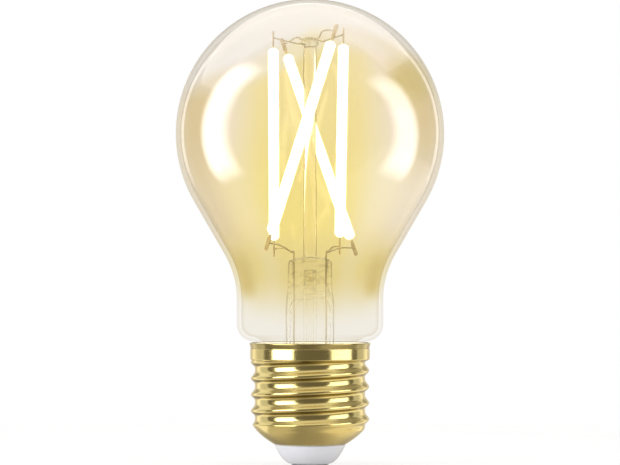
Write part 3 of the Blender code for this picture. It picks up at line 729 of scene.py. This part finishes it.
def envelope_outline(glass, inset):
    """The envelope's outline from its tail to its pole, moved inwards by the inset."""
    low, high = node_span("glass_envelope")
    centre_z = high - glass.radius
    tangent_z = centre_z - glass.radius * math.sin(glass.cone)
    tangent_r = glass.radius * math.cos(glass.cone)
    corner_z = tangent_z - (tangent_r - glass.neck_radius) / math.tan(glass.cone)
    curve = (glass.neck_radius + glass.fillet, corner_z - glass.fillet * math.tan(glass.cone / 2))
    shoulder = (glass.neck_radius - glass.shoulder_radius, glass.shoulder_z)
    tail = glass.tail_radius - inset
    tail_top_z = glass.shoulder_z - glass.shoulder_radius - TAIL_CORNER + inset
    outline = [(tail, low), (tail, tail_top_z)]
    outline += arc(shoulder, glass.shoulder_radius - inset, -math.pi / 2, 0, CURVE_STEPS)
    outline += arc(curve, glass.fillet + inset, math.pi, math.pi - glass.cone, CURVE_STEPS)
    outline += arc((0, centre_z), glass.radius - inset, -glass.cone, DOME_END, DOME_STEPS)
    return outline


class BULB_OT_envelope(bpy.types.Operator):
    """Builds the coated glass envelope with its real wall"""

    bl_idname = "bulb.envelope"
    bl_label = "Glass Envelope"

    def execute(self, context):
        glass = context.scene.bulb_glass
        high = node_span("glass_envelope")[1]
        shape = bmesh.new()
        rims = []
        for inset in (0.0, glass.wall):
            rings = [circle(r, z, glass.sides) for r, z in envelope_outline(glass, inset)]
            loops = add_skin(shape, rings, tips=(None, on_axis(high - inset)))
            rims.append(loops[0])
        add_band(shape, *rims)
        mesh = finished_mesh("amber_envelope", shape)
        coated = amber_glass(glass)
        envelope = add_piece("amber_envelope", mesh, coated, "glass_envelope")
        # Clear glass lets the lamps through to what it holds.
        envelope.visible_shadow = False
        return {"FINISHED"}


def shell_radius(cap, foot_z, turn, height):
    """Outer radius of the rolled shell: a rounded helical thread between the collar and the cone."""
    turns = (height - cap.phase_z) / cap.pitch - turn / (2 * math.pi)
    phase = 2 * math.pi * turns
    phase += cap.lean * (math.cos(phase) - 1)
    wave = (0.5 + 0.5 * math.cos(phase)) ** cap.sharpness
    thread = cap.root + (cap.crest - cap.root) * wave
    blend = (height - cap.collar_z + SHELL_CURVE) / (2 * SHELL_CURVE)
    collar = cap.root + (cap.collar_radius - cap.root) * eased(min(max(blend, 0.0), 1.0))
    rise = height - foot_z
    along = min(rise / cap.cone_height, 1.0)
    cone = cap.foot_radius + rise * cap.slope + 4 * cap.bulge * along * (1 - along)
    body = max(collar, thread)
    near = max(SHELL_CURVE - abs(cone - body), 0.0)
    return min(cone, body) - near**2 / (4 * SHELL_CURVE)


def shell_rings(cap, inset, rows):
    """Rings from the shell's foot to its rim, which starts in a groove and flares out."""
    foot_z, top_z = node_span("screw_shell")
    rim_foot_z = top_z - RIM_HEIGHT
    rings = []
    for t in shares(rows):
        height = foot_z + (rim_foot_z - foot_z) * t
        ring = []
        for turn in full_turn(cap.sides):
            reach = shell_radius(cap, foot_z, turn, height) - inset
            ring.append(round_axis(reach, turn, height))
        rings.append(ring)
    notch, lip, roll, steps = 0.0001, 0.0002, 0.00015, 4
    groove = cap.collar_radius - notch
    corners = [(cap.collar_radius, rim_foot_z), (groove, rim_foot_z + notch)]
    corners += [(cap.rim_radius, top_z - lip), (cap.rim_radius - notch, top_z), (groove, top_z)]
    for reach, height in rounded_outline(corners, roll, steps)[steps + 1 : -steps - 1]:
        rings.append(circle(reach - inset, height, cap.sides))
    return rings


class BULB_OT_cap(bpy.types.Operator):
    """Builds the threaded shell, the insulator, the centre contact and the cement"""

    bl_idname = "bulb.cap"
    bl_label = "Screw Cap"

    def execute(self, context):
        cap = context.scene.bulb_cap
        outer, inner = shell_rings(cap, 0.0, OUTER_ROWS), shell_rings(cap, cap.wall, INNER_ROWS)
        shape = bmesh.new()
        add_skin(shape, outer + inner[::-1], closed=True)
        mesh = finished_mesh("threaded_shell", shape, sharp_degrees=60)
        add_piece("threaded_shell", mesh, brass_finish(cap), "screw_shell")
        self.add_insulator(cap)
        self.add_contact(cap)
        self.add_cement(context)
        return {"FINISHED"}

    def add_insulator(self, cap):
        """A bowl with a bore for the contact's stud and a flange that sits in the shell."""
        low, high = node_span("cap_insulator")
        seat_z = node_span("screw_shell")[0]
        bore, brim, play, flange_edge, curve = 0.0012, 0.0080, 0.0002, 0.0009, 0.0006
        inside = cap.foot_radius - cap.wall - play
        flange = inside + (high - seat_z) * cap.slope * 0.6
        bowl = ((0.0052, 0.0003), (0.0062, 0.0012), (0.0070, 0.0023), (0.0077, 0.0036))
        corners = [(bore, low), (node_half_width("centre_contact"), low)]
        corners += [(radius, low + rise) for radius, rise in bowl]
        corners += [(brim, seat_z - play), (inside, seat_z)]
        corners += [(flange, high - flange_edge), (flange, high), (bore, high)]
        outline = rounded_outline(corners, curve)
        mesh = turned_mesh("moulded_insulator", outline, CAP_SIDES, closed=True)
        white = moulded("white_moulding", cap.white, darker(cap.white, 0.95), 500.0, 0.30)
        add_piece("moulded_insulator", mesh, white, "cap_insulator")

    def add_cement(self, context):
        """The ring of cement, with a top that is lower at both edges."""
        glass, cap = context.scene.bulb_glass, context.scene.bulb_cap
        low = node_span("basing_cement")[0]
        top = node_span("screw_shell")[1]
        play, sunk, outer_drop, slope = 0.00005, 0.0001, 0.0003, 0.0004
        inner, outer = glass.tail_radius + play, cap.collar_radius - cap.wall - play
        outline = [(inner, low), (outer, low), (outer, top - outer_drop), (outer - slope, top - sunk)]
        outline += [(inner + slope, top - sunk), (inner, top - slope)]
        pale, dark = (0.92, 0.90, 0.85), (0.84, 0.81, 0.74)
        cement = moulded("grainy_cement", pale, dark, 1200.0, 0.8, bump=0.5)
        mesh = turned_mesh("cement_ring", outline, CAP_SIDES, closed=True)
        add_piece("cement_ring", mesh, cement, "basing_cement")

    def add_contact(self, cap):
        """A dished disc with a rounded edge and a stud into the insulator's bore."""
        low, high = node_span("centre_contact")
        reach = node_half_width("centre_contact")
        edge_z, stud, chamfer = 0.00095, 0.0008, 0.0002
        # How far the edge curls inwards and upwards, and the corner above it
        curl, lift, corner = 0.0011, 0.0006, 0.00008
        dish = ((0, 0.00015), (0.0009, 0.00012), (0.0014, 0.0))
        outline = [(radius, low + rise) for radius, rise in dish] + [(reach - curl, low)]
        for t in shares(8)[1:]:
            turn = math.pi / 2 * t
            outline.append((reach - curl * (1 - math.sin(turn)), low + lift * (1 - math.cos(turn))))
        outline += [(reach, edge_z - corner), (reach - corner, edge_z), (stud, edge_z)]
        outline += [(stud, high - chamfer), (stud - chamfer, high), (0, high)]
        mesh = turned_mesh("plated_contact", outline, CONTACT_SIDES)
        nickel = drawn_metal("plated_contact", cap.nickel, darker(cap.nickel, 0.8), (500, 500, 500))
        add_piece("plated_contact", mesh, nickel, "centre_contact")


def stem_ring(half_width, half_depth, height, sides=72):
    """A ring that is round where its halves are equal, and a rounded slab where it is pinched."""
    power = 2 / (2 + 3 * (1 - half_depth / half_width))
    points = []
    for turn in full_turn(sides):
        x, y = math.cos(turn), math.sin(turn)
        x = math.copysign(abs(x) ** power, x)
        y = math.copysign(abs(y) ** power, y)
        points.append(Vector((half_width * x, half_depth * y, height)))
    return points


def stem_skin(stem, inset):
    """Rings from the flared rim to the start of the straight tube."""
    low = node_span("stem_flare")[0]
    rings = []
    for t in shares(14):
        turn = math.pi / 2 * t
        reach = stem.radius + (stem.flare_radius - stem.radius) * (1 - math.sin(turn)) - inset
        rings.append(stem_ring(reach, reach, low + stem.flare_height * (1 - math.cos(turn))))
    return rings


class BULB_OT_stem(bpy.types.Operator):
    """Builds the flared stem with its pinch, the exhaust tube, the centre rod and its bead"""

    bl_idname = "bulb.stem"
    bl_label = "Glass Stem"

    def execute(self, context):
        stem = context.scene.bulb_stem
        clear = stem_glass(stem)
        self.add_flare(stem, clear)
        self.add_exhaust(stem, clear)
        self.add_rod(stem)
        self.add_bead(stem, clear)
        return {"FINISHED"}

    def add_flare(self, stem, clear):
        top = node_span("stem_flare")[1]
        start_z, full_z = stem.shut_z, stem.pinch_z
        # How far the pinch's top rounds in, and how the bore ends below it
        crown, side_crown = 0.0012, 0.0016
        bore_end_z, bore_tip_z = full_z - 0.0022, full_z - 0.0019
        narrowed, flattened = 0.0012, 0.0032
        outer = stem_skin(stem, 0.0)
        for t in shares(12):
            width = stem.radius + (stem.pinch_width - stem.radius) * eased(t)
            depth = stem.radius + (stem.pinch_depth - stem.radius) * eased(t)
            outer.append(stem_ring(width, depth, start_z + (full_z - start_z) * t))
        for t in shares(9)[1:-1]:
            turn = math.pi / 2 * t
            width = stem.pinch_width - side_crown * (1 - math.cos(turn))
            depth = stem.pinch_depth - crown * (1 - math.cos(turn))
            ring = stem_ring(width, depth, top - crown + crown * math.sin(turn))
            for point in ring:
                point.z -= stem.pinch_sag * (point.x / stem.pinch_width) ** 2
            outer.append(ring)
        inner = stem_skin(stem, stem.wall)
        bore = stem.radius - stem.wall
        for t in shares(8):
            width, depth = bore - narrowed * eased(t), bore - flattened * eased(t)
            inner.append(stem_ring(width, depth, start_z + (bore_end_z - start_z) * t))
        shape = bmesh.new()
        add_skin(shape, outer[::-1] + inner, tips=(on_axis(top), on_axis(bore_tip_z)))
        mesh = finished_mesh("pinched_stem", shape)
        add_piece("pinched_stem", mesh, clear, "stem_flare")

    def add_exhaust(self, stem, clear):
        low, high = node_span("exhaust_tube")
        bore, reach, melted = stem.exhaust_bore, stem.exhaust_radius, 0.0002
        outline = rounded_outline([(bore, low), (reach, low), (reach, high), (bore, high)], melted)
        mesh = turned_mesh("drawn_exhaust_tube", outline, STEM_SIDES, closed=True)
        add_piece("drawn_exhaust_tube", mesh, clear, "exhaust_tube")

    def add_rod(self, stem):
        """A rod of uneven thickness, fused into the pinch and the bead."""
        low, high = node_span("centre_rod")
        low, high = low - stem.rod_fuse, high + stem.rod_fuse
        chamfer, end_share, mean_share = 0.0002, 0.9, 0.96
        start = low + chamfer
        outline = [(0, low), (stem.rod_radius * end_share, low)]
        for t in shares(40):
            swell = 0.03 * math.sin(9 * t) + 0.02 * math.sin(23 * t + 1)
            outline.append((stem.rod_radius * (mean_share + swell), start + (high - start) * t))
        outline.append((0, high))
        mesh = turned_mesh("drawn_centre_rod", outline, STEM_SIDES)
        add_piece("drawn_centre_rod", mesh, ground_glass(stem), "centre_rod")

    def add_bead(self, stem, clear):
        low, high = node_span("rod_button")
        half, middle = (high - low) / 2, (low + high) / 2
        outline = []
        for t in shares(20):
            turn = math.pi * (t - 0.5)
            reach = stem.bead_radius * abs(math.cos(turn)) ** 0.55
            outline.append((reach, middle + half * math.sin(turn)))
        outline[0], outline[-1] = (0, low), (0, high)
        mesh = turned_mesh("melted_bead", outline, STEM_SIDES)
        add_piece("melted_bead", mesh, clear, "rod_button")


def tab_mesh(cage):
    """A stamped tab: a plate with a waist near its root, a rounded end and softened edges."""
    half, width = cage.tab_length / 2, cage.tab_width / 2
    waist, end = width * 0.7, width * 0.55
    waist_top, shoulder, corner = -half + 0.0006, -half + 0.0009, half - 0.0003
    edge = [(-half, waist), (waist_top, waist), (shoulder, width), (corner, width), (half, end)]
    edge += [(z, -y) for z, y in reversed(edge)]
    shape = bmesh.new()
    bottom = [shape.verts.new((-cage.tab_thick / 2, y, z)) for z, y in edge]
    top = [shape.verts.new((cage.tab_thick / 2, y, z)) for z, y in edge]
    add_band(shape, bottom, top)
    shape.faces.new(bottom)
    shape.faces.new(top)
    bmesh.ops.recalc_face_normals(shape, faces=shape.faces)
    soften = {"offset": cage.tab_thick * 0.25, "segments": 2, "profile": 0.5, "affect": "EDGES"}
    bmesh.ops.bevel(shape, geom=shape.edges[:], **soften)
    return finished_mesh("stamped_tab", shape, sharp_degrees=50)


class BULB_OT_filaments(bpy.types.Operator):
    """Builds the lit coatings and the metal tabs of the filaments"""

    bl_idname = "bulb.filaments"
    bl_label = "Filaments"

    def execute(self, context):
        cage = context.scene.bulb_cage
        glow = phosphor_glow(cage)
        dull = darker(cage.steel, 0.8)
        steel = drawn_metal("stamped_tab_steel", cage.steel, dull, rough=0.36, metallic=0.5)
        for filament in all_filaments(cage):
            name = filament.name
            mesh = self.coating_mesh(filament)
            coat = add_piece(f"{name}_glow", mesh, glow, f"{name}_coating", filament.matrix)
            coat.visible_glossy = False
            reach = filament.half + cage.gap + cage.tab_length / 2
            for end, side in (("upper", 1), ("lower", -1)):
                flip = Matrix.Identity(4) if side > 0 else Matrix.Rotation(math.pi, 4, "X")
                matrix = filament.matrix @ Matrix.Translation((0, 0, side * reach)) @ flip
                plate, tab = f"{name}_{end}_plate", f"{name}_{end}_tab"
                add_piece(plate, tab_mesh(cage), steel, tab, matrix)
        return {"FINISHED"}

    def coating_mesh(self, filament):
        """A slightly uneven silicone coat with rounded ends that close on the carrier strip."""
        cage = filament.cage
        half, reach = filament.half, cage.radius
        # The rounding of the ends, and the narrow throat that opens into the bore
        dome, throat, throat_depth, bore_depth = 0.0009, 0.00052, 0.0003, 0.0006
        mean_share = 0.985
        outline = []
        for t in shares(48):
            swell = 0.012 * math.sin(31 * t) + 0.010 * math.sin(53 * t + 2)
            outline.append((reach * (mean_share + swell), -half + dome + 2 * (half - dome) * t))
        lower = arc((reach - dome, -half + dome), dome, -math.pi / 2, 0, 8)[:-1]
        upper = arc((reach - dome, half - dome), dome, 0, math.pi / 2, 8)[1:]
        outer = [(throat, -half)] + lower + outline + upper + [(throat, half)]
        inner = [(throat, half - throat_depth), (cage.bore, half - bore_depth)]
        inner += [(cage.bore, -half + bore_depth), (throat, -half + throat_depth)]
        return turned_mesh("phosphor_coat", outer + inner, COAT_SIDES, closed=True)


class BULB_OT_wires(bpy.types.Operator):
    """Builds the support wires, the lead wires and their welds"""

    bl_idname = "bulb.wires"
    bl_label = "Wires and Welds"

    def execute(self, context):
        scene = context.scene
        cage, stem = scene.bulb_cage, scene.bulb_stem
        dull = darker(cage.wire, 0.85)
        nickel = drawn_metal("drawn_nickel_wire", cage.wire, dull, metallic=0.5)
        below = (stem.pinch_z, cage.tinned)
        tinned = drawn_metal("tinned_lead_wire", cage.wire, dull, metallic=0.5, below=below)
        filaments = all_filaments(cage)
        wires = (
            ("support_wire", self.support_routes(stem, filaments), nickel),
            ("lead_wire", self.lead_routes(stem, filaments), tinned),
        )
        welds = []
        for kind, routes, metal in wires:
            for index, route in enumerate(routes):
                name = f"{kind}_{index + 1}"
                curve = wire_curve(name, route, cage.wire_radius)
                add_piece(f"{name}_bent", curve, metal, name)
                welds.append(route[-1])
        self.add_welds(welds, cage, nickel)
        return {"FINISHED"}

    def support_routes(self, stem, filaments):
        """From inside the bead out to each upper tab."""
        bead = node_middle("rod_button").z
        # Side, lift, depth and arch of each wire where it leaves the bead
        roots = ((1, 0.0009, -0.0012, 0.0014), (1, 0.0006, 0.0008, -0.0002))
        roots += ((-1, 0.0009, 0.0010, 0.0004), (-1, -0.0003, -0.0008, 0.0))
        outside, knee_run, sunk, sealed_share = 0.0003, 0.0007, 0.0001, 0.45
        reach = stem.bead_radius + outside
        routes = []
        for filament, (side, lift, depth, arch) in zip(filaments, roots):
            start = Vector((side * math.sqrt(reach**2 - depth**2), depth, bead + lift))
            knee = start + Vector((side * knee_run, 0, arch))
            weld = filament.weld(True, UPPER_WELD)
            before = knee.lerp(weld, 0.5) + on_axis(arch * 0.25)
            sealed = Vector((start.x * sealed_share, start.y * sealed_share, start.z - sunk))
            routes.append((sealed, start, knee, before, weld))
        return routes

    def lead_routes(self, stem, filaments):
        """From the board up through the pinch and out to each lower tab."""
        board_top = node_span("driver_board")[1]
        pinch_top = node_span("stem_flare")[1]
        sides = ((-1, -1), (1, -1), (1, 1), (-1, 1))
        # The end in the board, the bend above the pinch and the arch beyond it
        pin, bend_rise, bend_run, arch = 0.0014, 0.0011, 0.0010, 0.0005
        routes = []
        for filament, (across, back) in zip(filaments, sides):
            x, y = across * stem.lead_x, back * stem.lead_y
            weld = filament.weld(False, LOWER_WELD)
            out = Vector((weld.x - x, weld.y - y, 0)).normalized()
            heights = (board_top - pin, stem.shut_z, pinch_top)
            straight = [Vector((x, y, height)) for height in heights]
            bend = Vector((x, y, pinch_top + bend_rise)) + bend_run * out
            before = bend.lerp(weld, 0.5) + on_axis(arch)
            routes.append((*straight, bend, before, weld))
        return routes

    def add_welds(self, points, cage, nickel):
        """Small flattened nuggets where the wires meet the tabs."""
        reach = cage.wire_radius * 1.45
        lift = 0.8 * reach
        shape = bmesh.new()
        for point in points:
            rings = []
            for t in shares(8)[1:-1]:
                turn = math.pi * (t - 0.5)
                ring = circle(reach * math.cos(turn), lift * math.sin(turn), WELD_SIDES)
                rings.append([point + spot for spot in ring])
            add_skin(shape, rings, tips=(point - on_axis(lift), point + on_axis(lift)))
        add_piece("tab_welds", finished_mesh("tab_welds", shape), nickel)


# Node, finish, light and dark colour, scale, roughness and coat
MOULDED_PARTS = (
    ("insulating_sleeve", "white_film", (0.86, 0.86, 0.84), (0.80, 0.80, 0.78), 300, 0.35, 0.0),
    ("bridge_rectifier", "black_package", (0.035, 0.035, 0.037), (0.022, 0.022, 0.024), 1500, 0.45, 0.0),
    ("bulk_capacitor", "shrink_sleeve", (0.045, 0.055, 0.10), (0.03, 0.035, 0.06), 500, 0.22, 0.4),
    ("inductor_core", "sintered_ferrite", (0.11, 0.11, 0.12), (0.07, 0.07, 0.075), 1600, 0.6, 0.0),
    ("fusible_resistor", "lacquered_resistor", (0.30, 0.42, 0.50), (0.22, 0.34, 0.42), 800, 0.28, 0.3),
)


class BULB_OT_driver(bpy.types.Operator):
    """Gives the sleeve, the carrier strips and the driver's parts their finishes"""

    bl_idname = "bulb.driver"
    bl_label = "Driver Finishes"

    def execute(self, context):
        tin, dull_tin = (0.64, 0.64, 0.65), (0.50, 0.50, 0.51)
        wash, dull_wash = (0.80, 0.73, 0.64), (0.74, 0.62, 0.50)
        copper = drawn_metal("tinned_copper_lead", (0.68, 0.38, 0.20), (0.42, 0.20, 0.10))
        strip = moulded("ceramic_carrier", (0.78, 0.77, 0.72), (0.70, 0.66, 0.55), 900, 0.4)
        finishes = {node: moulded(*finish) for node, *finish in MOULDED_PARTS}
        finishes["driver_chip"] = finishes["bridge_rectifier"]
        finishes["driver_board"] = finishes["radio_board"] = board_finish()
        finishes["inductor_winding"] = wound_copper()
        finishes["radio_shield"] = drawn_metal("tinned_shield", tin, dull_tin, (120, 900, 900))
        finishes["radio_aerial"] = drawn_metal("tinned_copper", wash, dull_wash, metallic=0.5)
        finishes["contact_lead"] = finishes["shell_lead"] = copper
        for number in range(1, FILAMENTS + 1):
            finishes[f"filament_{number}_led_strip"] = strip
        for name, material in finishes.items():
            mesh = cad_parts[name].data
            mesh.materials.clear()
            mesh.materials.append(material)
        return {"FINISHED"}


def floor_finish(stage):
    """A pale floor that runs out into the white of the backdrop."""
    shading = new_finish("studio_floor")
    point = shading.point()
    grain = shading.noise(point, 40.0, 3.0)
    tint = shading.mix(0.04 * grain, stage.floor, darker(stage.floor, 0.9))
    floor = shading.principled({"Base Color": tint, "Roughness": 0.9, "Specular IOR Level": 0.0})
    white = shading.emission(shading.mix(0.02 * grain, WHITE, tint))
    floor = shading.blend(0.7 * shading.ray("Is Camera Ray"), floor, white)
    x, y = shading.axis(point, "X"), shading.axis(point, "Y")
    out = shading.step((x * x + y * y) ** 0.5, 0.35 * stage.floor_radius, stage.floor_radius)
    return shading.close(shading.blend(out, floor, shading.clear(WHITE)))


def studio_world(stage):
    """White behind and through the glass. Reflections get a dark front, and a pale back and ground."""
    world = bpy.data.worlds.new("studio")
    world.use_nodes = True
    shading = Shading(world.node_tree, "ShaderNodeOutputWorld")
    direction = shading.node("ShaderNodeTexCoord", None, None, "Generated")
    x, y, z = [shading.axis(direction, name) for name in "XYZ"]
    frontness = (0 - y) / (x * x + y * y + 0.0001) ** 0.5
    back = 1 - shading.step(frontness, -0.75, -0.50)
    back = back * (1 - 0.55 * shading.step(z, 0.12, 0.30))
    around = 0.175 + 0.655 * back + 0.35 * shading.step(z, 0.35, 0.9)
    ground = 0.44 + 0.50 * shading.step(x * x, 0.01, 0.25) + 0.32 * x
    ground = ground - 0.1 * shading.step(z, -0.85, -0.35)
    below = shading.step(0 - z, 0.12, 0.5)
    reflected = around + below * (ground - around)
    rays = {0: shading.ray("Is Camera Ray"), 1: shading.ray("Is Transmission Ray")}
    seen = shading.node("ShaderNodeMath", {"operation": "MAXIMUM"}, rays)
    diffuse = shading.ray("Is Diffuse Ray")
    lit = diffuse * stage.ambient + (1 - diffuse) * reflected
    tint = shading.mix((1 - seen) * (1 - diffuse), WHITE, stage.backdrop)
    background = {"Color": tint, "Strength": seen + (1 - seen) * lit}
    shading.close(shading.node("ShaderNodeBackground", None, background))
    bpy.context.scene.world = world


def soft_edges(lamp, fade, bow):
    """Lets a light fade out over that share of its size, with its ends bowed to one side."""
    lamp.use_nodes = True
    shading = Shading(lamp.node_tree, "ShaderNodeOutputLight")
    place = shading.node("ShaderNodeNewGeometry", None, None, "Parametric")
    along = shading.axis(place, "Y")
    # The bow is nothing at 38 % of the height and grows to its full size at the upper end.
    straight, full = 2 * 0.38, 1.54
    across = shading.axis(place, "X") + bow * (2 * along - straight) ** 2 / full
    low, high = max(bow, 0.0), 1 + min(bow, 0.0)
    wider = 0.10 * (1 - along) ** 2
    level = shading.step(along, 0.0, fade) * shading.step(1 - along, 0.0, fade)
    level = level * shading.step(across + wider, low, low + fade)
    level = level * (1 - shading.step(across - wider, high - fade, high))
    shading.close(shading.emission(shading.mix(level, BLACK, WHITE)))


def add_soft_light(name, place, size, brightness, receivers=(), fade=0.0, bow=0.0, target=LAMP_TARGET):
    """An area light aimed at its target. With receivers it is only reflected, and only in them."""
    lamp = bpy.data.lights.new(name, "AREA")
    lamp.shape = "RECTANGLE"
    lamp.size, lamp.size_y = size
    lamp.energy = brightness * math.pi * size[0] * size[1]
    if fade:
        soft_edges(lamp, fade, bow)
    holder = bpy.data.objects.new(name, lamp)
    bpy.context.scene.collection.objects.link(holder)
    holder.location = place
    holder.rotation_mode = "QUATERNION"
    holder.rotation_quaternion = (target - holder.location).to_track_quat("-Z", "Y")
    holder.visible_camera = False
    holder.visible_transmission = False
    holder.visible_glossy = bool(receivers)
    holder.visible_diffuse = not receivers
    if receivers:
        group = bpy.data.collections.new(name)
        for receiver in receivers:
            group.objects.link(bpy.data.objects[receiver])
        holder.light_linking.receiver_collection = group


def around_bulb(degrees, height):
    """A place round the bulb, turned from the front towards the right."""
    turn = math.radians(degrees)
    return Vector((LAMP_DISTANCE * math.sin(turn), -LAMP_DISTANCE * math.cos(turn), height))


class BULB_OT_stage(bpy.types.Operator):
    """Adds the floor, the lights, the world and the camera"""

    bl_idname = "bulb.stage"
    bl_label = "Stage"

    def execute(self, context):
        scene = context.scene
        stage = scene.bulb_stage
        half, cells = 1.2 * stage.floor_radius, 12
        shape = bmesh.new()
        bmesh.ops.create_grid(shape, x_segments=cells, y_segments=cells, size=half)
        mesh = bpy.data.meshes.new("floor")
        shape.to_mesh(mesh)
        shape.free()
        mesh.materials.append(floor_finish(stage))
        floor = bpy.data.objects.new("floor", mesh)
        scene.collection.objects.link(floor)
        floor.visible_glossy = False
        studio_world(stage)
        self.add_lights(stage)
        self.add_camera(scene, stage)
        scene.view_settings.view_transform = "Standard"
        scene.cycles.max_bounces = 28
        scene.cycles.transmission_bounces = 28
        scene.cycles.transparent_max_bounces = 64
        return {"FINISHED"}

    def add_lights(self, stage):
        """Name, place, size, brightness, receivers, fade and bow of each light."""
        glass, shell = ["amber_envelope"], ["threaded_shell"]
        panel, strip, flank = stage.panel, stage.strip, stage.flank
        above, under = Vector((-0.26, 0.39, 0.70)), Vector((0.40, 0.1, -0.50))
        ahead, overhead = Vector((0, -0.35, 0.80)), Vector((0, -0.02, 0.70))
        rows = (
            ("left_panel", around_bulb(-76, 0.20), (0.95, 1.54), panel, glass, 0.24, -0.40),
            ("right_panel", around_bulb(77, 0.14), (0.90, 1.24), panel * 0.75, glass, 0.24, 0.40),
            ("left_edge", around_bulb(-138, 0.22), (0.13, 0.90), stage.edge, glass, 0.3),
            ("right_edge", around_bulb(138, 0.24), (0.13, 0.90), stage.edge, glass, 0.3),
            ("back_panel", above, (2.1, 0.90), stage.haze, glass, 0.06, 0.0, above - on_axis(above.z)),
            ("ground_panel", under, (1.6, 1.5), stage.ground, glass, 0.1),
            ("left_strip", around_bulb(-54.5, 0.26), (0.70, 0.64), strip, shell),
            ("right_strip", around_bulb(63.5, 0.26), (0.70, 0.64), strip * 0.55, shell),
            ("front_panel", ahead, (1.4, 0.5), stage.front, shell),
            ("left_flank", around_bulb(-121, 0.05), (0.66, 1.40), flank * 1.2, shell),
            ("right_flank", around_bulb(123, 0.05), (0.60, 0.80), flank, shell),
            ("key_light", around_bulb(-60, 0.20), (0.40, 0.60), stage.key),
            ("fill_light", around_bulb(60, 0.20), (0.40, 0.60), stage.key * 0.2),
            ("top_light", overhead, (0.66, 0.66), stage.top),
        )
        for row in rows:
            add_soft_light(*row)

    def add_camera(self, scene, stage):
        camera = bpy.data.cameras.new("camera")
        camera.sensor_width = 36.0
        camera.lens = camera.sensor_width * stage.distance / stage.view_width
        camera.shift_y = (stage.middle_z - stage.height) / stage.view_width
        camera.clip_start = 0.01
        holder = bpy.data.objects.new("camera", camera)
        scene.collection.objects.link(holder)
        holder.location = (0, -stage.distance, stage.height)
        holder.rotation_euler = (math.pi / 2, 0, 0)
        scene.camera = holder


STEPS = ("envelope", "cap", "stem", "filaments", "wires", "driver", "stage")


class BULB_PT_pieces(bpy.types.Panel):
    """Lists the settings and the steps"""

    bl_label = "Filament Bulb"
    bl_space_type = "VIEW_3D"
    bl_region_type = "UI"
    bl_category = "Bulb"

    def draw(self, context):
        for group in SETTINGS:
            settings = getattr(context.scene, group)
            box = self.layout.box()
            for name in settings.bl_rna.properties.keys():
                if name not in ("rna_type", "name"):
                    box.prop(settings, name)
        for step in STEPS:
            self.layout.operator(f"bulb.{step}")


SETTINGS = {
    "bulb_glass": BulbGlassSettings,
    "bulb_cap": BulbCapSettings,
    "bulb_cage": BulbCageSettings,
    "bulb_stem": BulbStemSettings,
    "bulb_stage": BulbStageSettings,
}
CLASSES = (
    *SETTINGS.values(),
    BULB_OT_envelope,
    BULB_OT_cap,
    BULB_OT_stem,
    BULB_OT_filaments,
    BULB_OT_wires,
    BULB_OT_driver,
    BULB_OT_stage,
    BULB_PT_pieces,
)


def register():
    for item in CLASSES:
        bpy.utils.register_class(item)
    for name, group in SETTINGS.items():
        setattr(bpy.types.Scene, name, PointerProperty(type=group))


def unregister():
    for name in SETTINGS:
        delattr(bpy.types.Scene, name)
    for item in reversed(CLASSES):
        bpy.utils.unregister_class(item)


def main():
    register()
    for step in STEPS:
        getattr(bpy.ops.bulb, step)()


if __name__ == "__main__":
    main()
